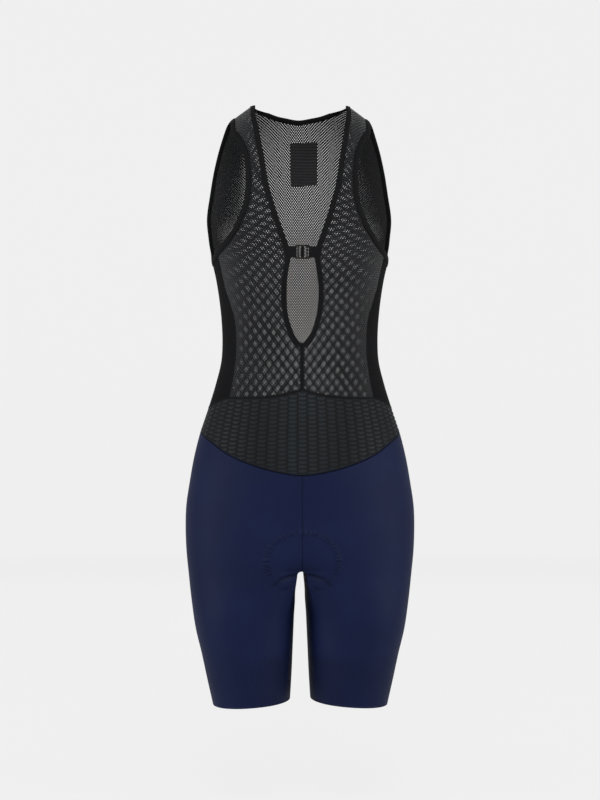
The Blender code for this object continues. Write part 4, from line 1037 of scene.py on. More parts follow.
def pad_puckers(tree):
    """Hollows between the puckers round the pad's front, by shorts_relief's formula: a mask for the bump
    and for painted shade.
    """
    place = parts(tree, object_place(tree))
    x = maths(tree, "DIVIDE", place[0], PAD_FRONT_HALF[0] * MM)
    z = maths(tree, "DIVIDE", maths(tree, "SUBTRACT", place[2], PAD_CENTRE * MM),
              PAD_FRONT_HALF[1] * MM)
    size = maths(tree, "SQRT", maths(tree, "ADD", times(tree, x, x), times(tree, z, z)))
    turn = maths(tree, "ARCTAN2", z, x)
    phase = times(tree, turn, PUCKERS)
    for swing, count, start in PUCKER_SWINGS:
        slow = maths(tree, "SINE", maths(tree, "MULTIPLY_ADD", turn, count, start))
        phase = maths(tree, "MULTIPLY_ADD", slow, swing, phase)
    hollow = between(tree, maths(tree, "SINE", phase), 0.2, -0.9)
    low, high = PUCKER_BAND
    band = times(tree, between(tree, size, low, low + 0.08), between(tree, size, high, high - 0.12))
    front = between(tree, place[1], -0.02, -0.03)
    above = between(tree, place[2], (CROTCH_LEVEL - 16) * MM, (CROTCH_LEVEL - 4) * MM)
    return times(tree, times(tree, hollow, band), times(tree, front, above))


def jersey_material(name, colour, wale, course, rough, specular, uneven=0.6, lint=0.04,
                    depth=0.25, ribbed=False):
    """Plain knit: painted shade darkens the loops between them, over an uneven dye.  A ribbed one
    has fine upright ribs near the hem, puckers round the pad and creases, with painted shade in their
    hollows."""
    material, tree, shader = finish_material(name, rough, specular)
    loops = knit(tree, wale, course)
    # Painted shade: the loops' Shade darkens the dye to 0.55 of it between them.
    dark = darkened(tree, maths(tree, "MULTIPLY_ADD", loops["Shade"], 0.45, 0.55),
                    dyed(tree, colour, 0.8, 1.2, uneven, lint))
    height = loops["Height"]
    if ribbed:
        # Painted shade: the hollows between the hem's ribs, between the puckers and in the creases
        # darken the colour towards black; the same mask sinks the bump.
        hollow = maths(tree, "MAXIMUM", hem_ribs(tree), times(tree, pad_puckers(tree), 0.6))
        hollow = maths(tree, "MAXIMUM", hollow, between(tree, relief_value(tree), -0.5, -1.7))
        dark = mix_colour(tree, times(tree, hollow, 0.42), dark, BLACK)
        height = maths(tree, "MULTIPLY_ADD", hollow, -3.0, height)
    wire(tree, dark, shader.inputs["Base Color"])
    wire(tree, between(tree, loops["Height"], 0, 1, rough + 0.1, rough - 0.05),
         shader.inputs["Roughness"])
    add_bump(tree, shader, height, 0.6, depth)
    return material


def tape_material(name, colour, yarn=0.7, ribbed=False):
    """Woven tape: crossed yarns over an uneven dye, with painted shade between the yarns and between a
    ribbed one's ribs.
    """
    material, tree, shader = finish_material(name, 0.65, 0.08)
    yarns = use_group(tree, weave_group(), Place=cloth_place(tree), Yarn=yarn)
    # Painted shade: the yarns' Shade darkens the dye to 0.6 of it between them.
    dark = darkened(tree, maths(tree, "MULTIPLY_ADD", yarns["Shade"], 0.4, 0.6),
                    dyed(tree, colour, 0.8, 1.25, 0.6, 0.04))
    # Painted shade: a ribbed tape is darkened to 0.45 between its ribs by the relief attribute.
    if ribbed:
        dark = darkened(tree, between(tree, relief_value(tree), 0.1, 0.9, 0.45, 1.0), dark)
    wire(tree, dark, shader.inputs["Base Color"])
    add_bump(tree, shader, yarns["Height"], 0.5, 0.15)
    return material


def thread_material(name, colour, dark):
    """Twisted thread: fine crossed yarns, with painted shade between them."""
    material, tree, shader = finish_material(name, 0.6, 0.15)
    twist = use_group(tree, weave_group(), Place=cloth_place(tree), Yarn=0.35)
    # Painted shade: the yarns' Shade darkens the colour to the dark share between them.
    wire(tree, darkened(tree, between(tree, twist["Shade"], 0, 1, dark, 1), colour),
         shader.inputs["Base Color"])
    add_bump(tree, shader, twist["Height"], 0.4, 0.1)
    return material


# ======== openwork net
def cloth_tables(side):
    """Tables that turn distances on the cloth into angle and rise, on the -X half: down from
    the crest along the centre line, and across from it round the level section."""
    centre, far = (0.5 * math.pi, 1.1 * math.pi) if side == "front" else (1.5 * math.pi, 0.9 * math.pi)
    rises = np.linspace(float(level_to_rise(0.0)), float(level_to_rise(-445.0)), 420)
    down = length_along(figure_point(np.full_like(rises, centre), rises))
    even_down = np.arange(0, down[-1], 1.0)
    rises = np.interp(even_down, down, rises)
    angles = np.linspace(centre, far, 400)
    across = lengths_over(figure_point(angles[None, :], rises[:, None]), 1)
    even_across = np.arange(0, 190.0, 1.0)
    angle = np.stack([np.interp(even_across, row, angles) for row in across])
    return rises, angle


def table_at(table, row, column):
    """A table's value at fractional rows and columns, mixed from the four around it."""
    row = np.clip(row, 0, table.shape[0] - 1.001)
    column = np.clip(column, 0, table.shape[1] - 1.001)
    r, c = row.astype(int), column.astype(int)
    fr, fc = row - r, column - c
    return ((1 - fr) * ((1 - fc) * table[r, c] + fc * table[r, c + 1])
            + fr * ((1 - fc) * table[r + 1, c] + fc * table[r + 1, c + 1]))


def inside(polygon, x, y):
    """Which points lie in a polygon: an odd number of its edges passes to their right."""
    ax, ay = polygon[:, 0][:, None], polygon[:, 1][:, None]
    bx, by = np.roll(ax, -1, axis=0), np.roll(ay, -1, axis=0)
    result = np.zeros(len(x), dtype=bool)
    for start in range(0, len(x), 4000):
        px, py = x[None, start:start + 4000], y[None, start:start + 4000]
        spans = (ay > py) != (by > py)
        safe = np.where(np.abs(by - ay) < 1e-12, 1e-12, by - ay)
        crossing = ax + (py - ay) / safe * (bx - ax)
        result[start:start + 4000] = np.sum(spans & (px < crossing), axis=0) % 2 == 1
    return result


def net_outline(side):
    """The -X half's outline of a net, tucked under its bindings and neighbours."""
    tuck, lap = 2.5, 4
    front = side == "front"
    part = "" if front else "back "
    neck = LINES[part + "neck edge"] * 0.3 + LINES[part + "neck seam"] * 0.7
    arm = (LINES["arm edge"] + LINES["arm seam"]) / 2
    seam = move_across(LINES[side + " seam"], -tuck if front else tuck)
    if front:
        arm = arm[:ARM_FRONT_ROWS]
        waist = move_across(LINES["waist top"][:FRONT_COLUMNS + lap], tuck)[::-1]
        centre = 0.5 * math.pi - 0.01
    else:
        arm = arm[ARM_FRONT_ROWS + SIDE_COLUMNS:][::-1]
        waist = move_across(LINES["waist top"][FRONT_COLUMNS + SIDE_COLUMNS - lap:], tuck)
        centre = 1.5 * math.pi + 0.02
    foot = np.array([[centre, waist[-1, 1]], [centre, neck[-1, 1]]])
    return np.vstack([arm, seam[2:], waist, foot, neck[::-1]])


def add_net(cut, side, keep_side, sizes):
    """Threads round rows of four-sided holes, each row set half a hole aside.

    The holes' corners stand on a slanted grid, drawn wider over the front, and longer but
    narrower over the bust by a bell-shaped share.  The threads rise to a ridge along the lines
    that neighbouring holes share, and each hole's edge is turned in to the threads' depth.
    keep_side is 1 for the -X half and -1 for the other.
    """
    open_size = math.sqrt(sizes.front_open if side == "front" else sizes.net_open)
    deep = (sizes.front_thick if side == "front" else sizes.net_thick) / MM
    wide, row_step = sizes.net_wide / MM, sizes.net_row / MM
    rises, angle_table = cloth_tables(side)
    along = np.arange(len(rises), dtype=float)
    drawn_down = drawn_across = np.ones(len(rises))
    if side == "front":
        bell = np.exp(-((along - BUST_DOWN) / BUST_REACH)**2)
        drawn_down = sizes.front_stretch + sizes.bust_stretch * bell
        drawn_across = sizes.front_stretch - BUST_SPREAD * bell
    cloth_down = np.concatenate([[0], np.cumsum(1 / drawn_down[:-1])])
    rows = np.arange(0, int(cloth_down[-1] / row_step) + 1)
    reach = int(190 / wide / drawn_across.min()) + 1
    columns = np.arange(-reach, reach)
    j, i = (axis.ravel() for axis in np.meshgrid(rows, columns, indexing="ij"))
    centre_key = 2 * i + (j & 1)

    def place(across, down):
        """Angle and rise at places on the unstretched cloth, mirrored past the centre line."""
        down = np.interp(down, cloth_down, along)
        far = np.abs(across) * np.interp(down, along, drawn_across)
        angle = table_at(angle_table, down, far)
        other = math.pi - angle if side == "front" else 3 * math.pi - angle
        return np.where(across >= 0, angle, other), np.interp(down, along, rises)

    outline = net_outline(side)
    centre_across, centre_down = centre_key * wide / 2, j * row_step
    half_angle, rise = place(np.abs(centre_across), centre_down)
    keep = inside(outline, half_angle, rise)
    keep &= centre_key * keep_side >= (0 if (side, keep_side) == ("back", 1) else 1)
    j, centre_key = j[keep], centre_key[keep]

    # four corners: lower, right, upper, left
    corner_x = np.array([0, 1, 0, -1])
    corner_y = np.array([1, 0, -1, 0])
    keys = np.stack([centre_key[:, None] + corner_x, j[:, None] + corner_y], axis=-1).reshape(-1, 2)
    shared, number = np.unique(keys, axis=0, return_inverse=True)
    number = number.reshape(-1, 4)
    across, down = shared[:, 0] * wide / 2, shared[:, 1] * row_step
    size = np.full((len(j), 1), open_size)
    if side == "back":
        beyond, over_x, above, over_y = LINED
        far = np.abs(centre_key * wide / 2)[:, None]
        size *= 1 - LINED_SHARE * (smooth_step((far - beyond) / over_x)
                                   * smooth_step((above - (j * row_step)[:, None]) / over_y))
    hole_across = (centre_key[:, None] + corner_x * size) * wide / 2
    hole_down = (j[:, None] + corner_y * size) * row_step

    def spots(across, down, height):
        """Points on the net's sheet, raised by a height."""
        angle, rise = place(across, down)
        normal = figure_normal(angle, rise)
        return figure_point(angle, rise) + np.asarray(height - sizes.net_depth / MM)[..., None] * normal

    tops = spots(across, down, sizes.thread_ridge / MM)
    ridge = cut.spots(tops, 1.0)[number]
    cells = tops[number]
    area = np.linalg.norm(np.cross(cells[:, 0] - cells[:, 2], cells[:, 1] - cells[:, 3]), axis=1)
    edge = cut.spots(spots(hole_across, hole_down, 0.0), 0.5)
    thin = CREST_THIN + (1 - CREST_THIN) * smooth_step((j * row_step - 15)[:, None] / 60)
    turned = cut.spots(spots(hole_across, hole_down, -deep * thin), 0.0)
    flat_ridge = np.stack([across, -down], axis=-1)[number]
    flat_edge = np.stack([hole_across, -hole_down], axis=-1)
    flat_centre = np.stack([centre_key * wide / 2, -j * row_step], axis=-1)[:, None]
    flat_turned = 0.6 * flat_edge + 0.4 * flat_centre

    def faces(first, second):
        """Faces between two rings of corners, as point numbers or as places."""
        rows = [first, np.roll(first, -1, axis=1), np.roll(second, -1, axis=1), second]
        return np.stack(rows, axis=2).reshape(-1, 4, *first.shape[2:])

    cloth = np.concatenate([faces(flat_ridge, flat_edge), faces(flat_edge, flat_turned)])
    low, high = cloth.min(axis=(0, 1)), cloth.max(axis=(0, 1))
    cut.quads += [faces(ridge, edge), faces(edge, turned)]
    cut.bake.append(0.01 + 0.98 * (cloth - low) / (high - low))
    cut.cloth.append(cloth)
    size = (high - low) * (drawn_across.mean(), drawn_down.mean())
    return size * MM, float(area.sum()) / 2 * MM * MM


# ======== knitted waist
def scallop(across, down, sizes):
    """Height from 0 to 1 of overlapping scallops in columns, every second one half a row lower:
    a parabola across, and down each scallop a swell that drops at its hanging lower edge."""
    wide, row = sizes.knit_column / MM, sizes.knit_row / MM
    column = np.floor(across / wide + 0.5)
    aside = (across / wide + 0.5 - column) - 0.5
    share = down / row + 0.5 * np.mod(column, 2) + 0.9 * aside * aside
    share = share - np.floor(share)
    swell = np.sin(np.pi * np.minimum(share / 0.86, 1.0))**0.8
    return swell * (1 - (2 * np.abs(aside))**4) * 0.9 + 0.1 * (1 - np.abs(2 * aside)**2)


# ======== shorts
def pad_lift(x, level, half):
    """How far the pad lifts the cloth: full inside its oval outline, none outside."""
    inside_share = np.sqrt((x / half[0])**2 + ((level - PAD_CENTRE) / half[1])**2)
    return PAD_RELIEF * smooth_step((PAD_SLOPE[0] - inside_share) / PAD_SLOPE[1])


def hip_point(angle, level):
    """The hips and their continuation below the crotch, before the legs divide: the centre
    seams turn in towards the crotch, and the pad lifts the cloth."""
    point = figure_point(angle, level - BUST_LEVEL)
    x = point[..., 0]
    front = np.sin(angle) > 0
    start = np.where(front, FRONT_TURN[0], BACK_TURN[0])
    reach = np.where(front, FRONT_TURN[1], BACK_TURN[1])
    turn = np.clip((start - level) / (start - CROTCH_LEVEL), 0, 1)**3
    fade = np.exp(-(x / TURN_WIDTH)**2)
    lift = np.where(front, pad_lift(x, level, PAD_FRONT_HALF), pad_lift(x, level, PAD_BACK_HALF))
    inward = np.where(front, 1.0, -1.0)
    point[..., 1] += inward * (reach * turn * fade - lift)
    return point


def leg_ring(direction_x, direction_y, level):
    """A leg's section at directions from its axis: a rounded rectangle of the LEG table."""
    leg = smooth_table(LEG, level)
    outer, inner, front, back = (leg[..., k] for k in range(4))
    power = np.where(direction_x < 0, leg[..., 4], leg[..., 5])
    size = (np.abs(direction_x)**power + np.abs(direction_y)**power)**(-1 / power)
    x = -(outer + inner) / 2 + (outer - inner) / 2 * size * direction_x
    y = (front + back) / 2 + (back - front) / 2 * size * direction_y
    return np.stack([x, y, level], axis=-1)


def leg_direction(point):
    """A point's direction from the leg's axis at crotch level, in half widths."""
    outer, inner, front, back = LEG[0][1:5]
    x = (point[..., 0] + (outer + inner) / 2) / ((outer - inner) / 2)
    y = (point[..., 1] - (front + back) / 2) / ((back - front) / 2)
    return x, y


def arch(depth):
    """Half the space between the legs below the crotch: a round arch, then even."""
    share = np.clip(1 - depth / ARCH_DEPTH, 0, 1)
    return LEG_GAP * np.sqrt(1 - share**2)


def divide(hip, depth, level):
    """A point below the crotch: the hips' section, turning into the leg's with depth."""
    spread_out = hip.copy()
    fade = np.exp(-(hip[..., 0] / ARCH_REACH)**2)
    spread_out[..., 0] = np.minimum(hip[..., 0] - arch(depth) * fade, -arch(depth))
    leg = leg_ring(*leg_direction(hip), level)
    share = smooth_step(depth / LEG_BLEND)[..., None]
    mixed = (1 - share) * spread_out + share * leg
    mixed[..., 2] = level
    return mixed


def outer_leg_point(angle, depth):
    """The shorts below the crotch, on the side that the hips continue."""
    level = CROTCH_LEVEL - depth
    hip = hip_point(angle, np.maximum(level, -740.0))
    return divide(hip, depth, level)


def medial_leg_point(share, depth):
    """The shorts between the legs: share runs from 0 at the back seam to 1 in front."""
    level = CROTCH_LEVEL - depth
    held = np.maximum(level, -740.0)
    back = hip_point(np.full_like(level, 1.5 * math.pi), held)
    front = hip_point(np.full_like(level, 0.5 * math.pi), held)
    blend = ((1 - np.cos(math.pi * share)) / 2)[..., None]
    hip = (1 - blend) * back + blend * front
    sag = CROTCH_SAG * (1 - np.abs(2 * blend[..., 0] - 1)**4)
    fade = 1 - smooth_step(depth / LEG_BLEND)
    point = divide(hip, depth, level)
    point[..., 2] -= sag * fade
    return point


def level_hem(points):
    """Rows of a leg drawn to a flat hem that is a little lower at its outer side."""
    depth = np.clip((CROTCH_LEVEL - points[..., 2]) / LEG_LENGTH, 0, 1)
    outer, inner = LEG[-1][1:3]
    side = (-points[..., 0] - (outer + inner) / 2) / ((outer - inner) / 2)
    target = HEM_LEVEL - HEM_TILT * side
    points[..., 2] += smooth_step(depth) * (target - (CROTCH_LEVEL - LEG_LENGTH))
    return points


def shorts_relief(points, sizes):
    """Height of the small forms on the shorts: pad stitching, puckers and soft creases.

    Puckers run out from the pad's oval outline: a wave of the direction round it, made
    uneven by slower waves, inside a band at the outline.
    """
    x, y, level = points[..., 0], points[..., 1], points[..., 2]
    front = y < 0
    half_x = np.where(front, PAD_FRONT_HALF[0], PAD_BACK_HALF[0])
    half_z = np.where(front, PAD_FRONT_HALF[1], PAD_BACK_HALF[1])
    size = np.sqrt((x / half_x)**2 + ((level - PAD_CENTRE) / half_z)**2)
    turn = np.arctan2((level - PAD_CENTRE) / half_z, x / half_x)
    wave = np.sin(PUCKERS * turn + sum(swing * np.sin(count * turn + start)
                                       for swing, count, start in PUCKER_SWINGS))
    low, high = PUCKER_BAND
    band = smooth_step((size - low) / 0.1) * smooth_step((high - size) / 0.16)
    above = smooth_step((level - (CROTCH_LEVEL - 14)) / 12)
    puckers = sizes.pucker_height / MM * band * wave * above
    groove = -0.35 * np.exp(-((size - low) / 0.02)**2) * above
    soft = 0.5 * ripple(x / 38, level / 55, 4) * smooth_step((level + 845) / 30)
    creases = 0
    for start, end, wide, deep in CREASES:
        run = np.array(end) - np.array(start)
        away = np.stack([np.abs(x) - start[0], level - start[1]], axis=-1)
        share = np.clip(away @ run / (run @ run), 0, 1)
        far = np.linalg.norm(away - share[..., None] * run, axis=-1)
        creases = creases - deep * np.exp(-(far / wide)**2) * np.sin(math.pi * (0.15 + 0.75 * share))
    return puckers + groove + soft * 0.5 + creases * front


# ======== add-on
def hue(default, label, about):
    """A colour property."""
    return bpy.props.FloatVectorProperty(
        name=label, description=about, default=default, size=3, min=0, max=1, subtype="COLOR")


def length(default, label, about):
    """A length property, in metres."""
    return bpy.props.FloatProperty(
        name=label, description=about, default=default * MM, min=0, precision=5,
        unit="LENGTH", subtype="DISTANCE")


def factor(default, low, high, label, about):
    """A property without a unit, between two limits."""
    return bpy.props.FloatProperty(
        name=label, description=about, default=default, min=low, max=high, subtype="FACTOR")


class BibSizes(bpy.types.PropertyGroup):
    """Sizes of the cloths that a maker might change."""
    net_wide: length(3.5, "Net pitch", "Distance between the net's holes along a row")
    net_row: length(2.4, "Net rows", "Distance between rows of the net's holes")
    front_stretch: factor(1.27, 0.5, 2, "Front stretch", "How much wider the front net is drawn")
    bust_stretch: factor(0.25, 0, 1, "Bust stretch", "What the bust adds to that downwards")
    net_thick: length(0.9, "Net thickness", "Depth of the back net's threads round a hole")
    front_open: factor(0.25, 0.05, 0.7, "Front openness", "Share of the front net that is hole")
    front_thick: length(0.5, "Front net thickness", "The same where the front net is drawn thin")
    net_open: factor(0.18, 0.05, 0.7, "Net openness", "Share of the back net that is hole")
    net_depth: length(0.6, "Net depth", "How far the net lies under the panels' faces")
    thread_ridge: length(0.22, "Thread ridge", "Height of the threads' middles over their edges")
    knit_column: length(14.0, "Knit columns", "Width of a column of the waist's scallops")
    knit_row: length(5.9, "Knit rows", "Height of a row of the waist's scallops")
    knit_relief: length(0.75, "Knit relief", "Height of the waist's scallops")
    pucker_height: length(0.85, "Pad puckers", "Height of the puckers round the pad's outline")
    stitch: length(2.3, "Stitch", "Length of one stitch")


class BibColours(bpy.types.PropertyGroup):
    """Colours of the cloths, the thread and the clasp."""
    net: hue((0.0135, 0.0142, 0.0165), "Net", "Threads of the front and back net")
    jersey: hue((0.0110, 0.0112, 0.0125), "Side jersey", "Opaque side panels")
    tape: hue((0.0115, 0.0118, 0.0130), "Tape", "Bindings, seam tapes and clasp tabs")
    knit: hue((0.0190, 0.0255, 0.0315), "Waist knit", "Knitted waist panel")
    shorts: hue((0.0108, 0.0184, 0.0715), "Shorts jersey", "Stretch jersey of the shorts")
    pad: hue((0.020, 0.021, 0.025), "Pad", "Lining of the seat pad")
    label: hue((0.0580, 0.0580, 0.0620), "Label", "Bare woven label")
    enamel: hue((0.0060, 0.0060, 0.0068), "Clasp enamel", "Coating of the clasp's wires")
    studio: hue((0.863, 0.863, 0.863), "Studio", "Floor and wall round the garment")


def sizes():
    """The sizes in use."""
    return bpy.context.scene.bib_sizes


def colours():
    """The colours in use."""
    return bpy.context.scene.bib_colours


class BibNet(bpy.types.Operator):
    """Front and back net: threads round rows of small holes"""
    bl_idname = "bib.net"
    bl_label = "Net"

    def execute(self, context):
        """Makes the halves of the back net, then one front net and its mirror image."""
        material, tree, shader = finish_material("net_thread", 0.8, 0.05, sheen=0.45)
        # Painted shade: the relief attribute darkens the threads' turned walls round each hole to 0.75,
        # leaving their ridges lightest.
        crown = between(tree, relief_value(tree), 0, 1, 0.75, 1.0)
        wire(tree, darkened(tree, crown, dyed(tree, colours().net, 0.75, 1.25, 0.8, 0.05)),
             shader.inputs["Base Color"])
        add_bump(tree, shader, knit(tree, 0.5, 0.35)["Height"], 0.4, 0.1)
        for side, way in (("right", 1), ("left", -1)):
            cut = Cut()
            flat, area = add_net(cut, "back", way, sizes())
            thing = declare(cut.build("back_net_" + side, material, closed=False), "net",
                            "back_mesh")
        front = Cut()
        flat, area = add_net(front, "front", 1, sizes())
        for side, cut in both_halves(front):
            thing = declare(cut.build("front_net_" + side, material, closed=False), "net",
                            "front_mesh_" + side)
        return {"FINISHED"}


class BibSides(bpy.types.Operator):
    """Plain jersey panels at the sides, from the armholes to the waist"""
    bl_idname = "bib.sides"
    bl_label = "Side Panels"

    def execute(self, context):
        """Makes one panel and its mirror image."""
        material = jersey_material("side_jersey", colours().jersey, 0.9, 0.7, 0.8, 0.06)
        top = LINES["arm seam"][ARM_FRONT_ROWS:ARM_FRONT_ROWS + SIDE_COLUMNS + 1]
        bottom = LINES["waist top"][FRONT_COLUMNS:FRONT_COLUMNS + SIDE_COLUMNS + 1]
        cut = Cut()
        grid = patch(top, bottom, LINES["front seam"], LINES["back seam"])
        add_wall(cut, *panel(grid), beside=True)
        for side, half in both_halves(cut):
            thing = declare(half.build("side_cloth_" + side, material), "side_jersey",
                            "side_panel_" + side)
            wall_area(thing)
        return {"FINISHED"}


class BibWaist(bpy.types.Operator):
    """Knitted waist panel with rows of small scallops"""
    bl_idname = "bib.waist"
    bl_label = "Waist Panel"

    def execute(self, context):
        """Makes the panel as one band, joined at the centre back."""
        material, tree, shader = finish_material("waist_knit", 0.5, 0.22)
        base = dyed(tree, colours().knit, 0.8, 1.3, 0.8, 0.04)
        # Painted highlight: the knit is brightest in a band down the front centre and falls to 0.45 of
        # that towards the sides.
        x = parts(tree, object_place(tree))[0]
        painted_sheen_band = between(tree, maths(tree, "ABSOLUTE", x), 0.012, 0.060, 1.0, 0.45)
        # Painted shade: the relief attribute darkens the scallops' hollows to 0.15, leaving their crowns
        # lightest.
        crown = times(tree, painted_sheen_band, between(tree, relief_value(tree), 0, 1, 0.15, 1.0))
        wire(tree, darkened(tree, crown, base), shader.inputs["Base Color"])
        wire(tree, between(tree, relief_value(tree), 0, 1, 0.75, 0.4), shader.inputs["Roughness"])
        add_bump(tree, shader, knit(tree, 1.1, 0.9)["Height"], 0.5, 0.2)

        share = np.linspace(0, 1, WAIST_ROWS + 1)[:, None, None]
        grid = (1 - share) * all_round("waist top") + share * all_round("waist bottom")
        points = figure_point(grid[..., 0], grid[..., 1])
        middle = WAIST_ROWS // 2
        across = lengths_over(points, 1)[middle]
        across = across - across[len(across) // 2]
        height = scallop(across, -points[..., 2], sizes())
        down = lengths_over(points, 0)
        fade = smooth_step((np.minimum(down, down[-1:] - down) - 1.0) / 2.5)
        lift = sizes().knit_relief / MM * (height - 0.75) * fade
        outer, inner, _ = panel(grid, lift[..., None])
        cut = Cut()
        add_wall(cut, outer, inner, pairs(across, points[..., 2]),
                 relief=height * fade + 0.5 * (1 - fade))
        thing = declare(cut.build("waist_cloth", material), "waist_knit", "waist_panel")
        wall_area(thing)
        return {"FINISHED"}


class BibShorts(bpy.types.Operator):
    """Both halves of the shorts, from the waist panel to the hems"""
    bl_idname = "bib.shorts"
    bl_label = "Shorts"

    def execute(self, context):
        """Makes one half as a shell above the crotch and a leg below it, and mirrors it."""
        top = LINES["waist bottom"]
        angles = top[:, 0]
        top_level = rise_to_level(top[:, 1])[0]
        down = 1 - (1 - np.linspace(0, 1, HIP_ROWS + 1)[:, None])**ROW_CROWDING
        levels = top_level + down * (CROTCH_LEVEL - top_level)
        above = hip_point(np.broadcast_to(angles, levels.shape), levels)
        above[0] = figure_point(*top.T)
        depths = LEG_LENGTH * np.linspace(0, 1, LEG_ROWS + 1)[:, None]**ROW_CROWDING
        shares = np.linspace(0, 1, MEDIAL_COLUMNS + 1)[1:-1]
        below = level_hem(outer_leg_point(*np.broadcast_arrays(angles, depths[1:])))
        medial = level_hem(medial_leg_point(*np.broadcast_arrays(shares, depths)))

        # numbers of the skin's points: shell, crotch line, leg rings
        columns, ring = len(angles), len(angles) + len(shares)
        shell = np.arange(above.shape[0] * columns).reshape(-1, columns)
        crotch = shell.size + np.arange(len(shares))
        rings = shell.size + len(shares) + np.arange(LEG_ROWS * ring).reshape(LEG_ROWS, ring)
        points = np.vstack([above.reshape(-1, 3), medial[0],
                            np.concatenate([below, medial[1:]], axis=1).reshape(-1, 3)])
        crotch_ring = np.concatenate([shell[-1], crotch])
        legs = np.vstack([crotch_ring, rings])
        legs = np.concatenate([legs, legs[:, :1]], axis=1)
        quads = np.concatenate([four_corners(grid).reshape(-1, 4) for grid in (shell, legs)])
        normals = vertex_normals(points, quads)
        if np.sum(normals[shell[2]] * (points[shell[2]] - points.mean(axis=0))) < 0:
            normals = -normals
        centre = np.concatenate([shell[:, 0], crotch[::-1], shell[::-1, -1]])
        normals[centre] = square_to(np.gradient(points[centre], axis=0))
        normals[shell[0]] = figure_normal(*top.T)

        relief = shorts_relief(points, sizes())
        seam = np.exp(-(points[:, 0] / 1.1)**2) * smooth_step((points[:, 2] - PAD_CENTRE) / 30)
        outer = points + (relief - 0.3 * seam)[:, None] * normals
        outer[shell[0]] += (HALF_GAP + RIM_ROUND) * unit(points[shell[1]] - points[shell[0]])
        inner = outer - SHORTS_WALL * normals
        outer[centre, 0] = inner[centre, 0] = -SEAM_GAP

        # both skins, each on its own half of the OFBake map
        around = length_along(points[legs[0]])
        drop = lengths_over(above, 0)[:, columns // 2]
        drop_leg = drop[-1] + lengths_over(np.concatenate([above[-1:], below]), 0)[:, columns // 2]
        cloths = (pairs(around[:columns], -drop[:, None]), pairs(around, -drop_leg[:, None]))
        cut = Cut()
        skins = []
        for skin, low, flip in ((outer, 0.508, False), (inner, 0.008, True)):
            numbers = cut.spots(skin, 0.0 if flip else relief)
            skins.append(numbers)
            for grid, cloth in zip((shell, legs), cloths):
                bake = np.stack([0.01 + 0.98 * cloth[..., 0] / around[-1],
                                 low + 0.484 * (1 + cloth[..., 1] / drop_leg[-1])], axis=-1)
                cut.patch(numbers[grid], bake, cloth, flip)

        # rounded edges: where each runs, which way it bulges, and its place on the map
        opening = np.concatenate([shell[0, :-1], shell[:-1, -1], crotch_ring[columns - 1:],
                                  shell[:0:-1, 0], shell[0, :1]])
        towards = np.zeros((len(opening), 3))
        towards[:, 0] = SEAM_GAP / RIM_ROUND / 2
        towards[:columns] = unit(points[shell[0]] - points[shell[1]])
        towards[-1] = towards[0]
        for loop, away, places in ((opening, towards, ((0.9965, False), (0.4955, True))),
                                   (legs[-1], (0.0, 0.0, -1.0), ((0.5035, True), (0.0025, False)))):
            middle = (outer[loop] + inner[loop]) / 2 + RIM_ROUND * np.array(away)
            edge = cut.spots(middle[:-1])
            edge = np.append(edge, edge[0])
            along = length_along(middle)
            for numbers, (v, flip) in zip(skins, places):
                strip = pairs(0.01 + 0.98 * along / along[-1], v)
                rim = pairs(along, 0.0)
                cut.patch(np.stack([numbers[loop], edge]), np.stack([strip, strip + (0, 0.002)]),
                          np.stack([rim, rim + (0, 1)]), flip)
        band, away = (rows[rings[-GRIP_ROWS:-1]].transpose(1, 0, 2) for rows in (inner, normals))
        grip = Cut()
        add_tube(grip, np.concatenate([band - 0.1 * away, (band - 0.9 * away)[:, ::-1]], axis=1), True)
        rubber = jersey_material("grip_band", shifted(colours().shorts, 0.6)[:3], 1.6, 1.6, 0.6, 0.15)
        for side, half in both_halves(grip):
            thing = declare(half.build("grip_band_" + side, rubber), "shorts_jersey")
            wall_area(thing)
        material = jersey_material("shorts_jersey", colours().shorts, 0.8, 0.6, 0.52, 0.11,
                                   uneven=0.5, lint=0.02, depth=0.15, ribbed=True)
        for side, half in both_halves(cut):
            thing = declare(half.build("shorts_cloth_" + side, material), "shorts_jersey",
                            "shorts_" + side)
            wall_area(thing)
        return {"FINISHED"}


def tape_rings(edge, seam, sides=18):
    """A folded tape's rounded profile from its edge line to its seam line; its height follows a
    parabola that is highest in the middle."""
    across, high = round_profile(sides, 0.7)
    share = ((across + 1) / 2 * 0.98)[:, None]
    points, normals = on_skin(edge[:, None] * (1 - share) + seam[:, None] * share)
    half = WALL / 2 + BAND_EDGE + (BAND_CROWN - BAND_EDGE) * (1 - across**2)
    return points + (high * half - WALL / 2)[None, :, None] * normals


class BibTapes(bpy.types.Operator):
    """Folded tapes round the neck and the armholes"""
    bl_idname = "bib.tapes"
    bl_label = "Edge Tapes"

    def execute(self, context):
        """Makes the neck tape all round, then one armhole tape and its mirror image."""
        material = tape_material("edge_tape", colours().tape)
        front = tape_rings(LINES["neck edge"], LINES["neck seam"])[::-1]
        back = tape_rings(LINES["back neck edge"], LINES["back neck seam"])[1:]
        half = np.concatenate([front, back])
        half[[0, -1], :, 0] = 0
        half[..., 2] -= 0.8 * np.clip(half[..., 2] - CREST_SOFT, 0, None)
        rings = np.concatenate([half, half[-2:0:-1] * MIRROR])
        cut = Cut()
        add_tube(cut, rings, closed=True)
        thing = declare(cut.build("neck_tape", material), "binding_tape", "neck_binding")
        arm = Cut()
        rings = tape_rings(LINES["arm edge"], LINES["arm seam"])[:-1]
        add_tube(arm, rings, closed=True)
        for side, cut in both_halves(arm):
            thing = declare(cut.build("armhole_tape_" + side, material), "binding_tape",
                            "armhole_binding_" + side)
        return {"FINISHED"}


def centre_spots(angle, rises):
    """Points and outward directions of the figure on its centre line, at rises."""
    return on_skin(pairs(angle, rises))


def line_spots(line, offset=0.0):
    """Points and outward directions of the figure on a seam line moved sideways."""
    return on_skin(move_across(line, offset) if offset else line)


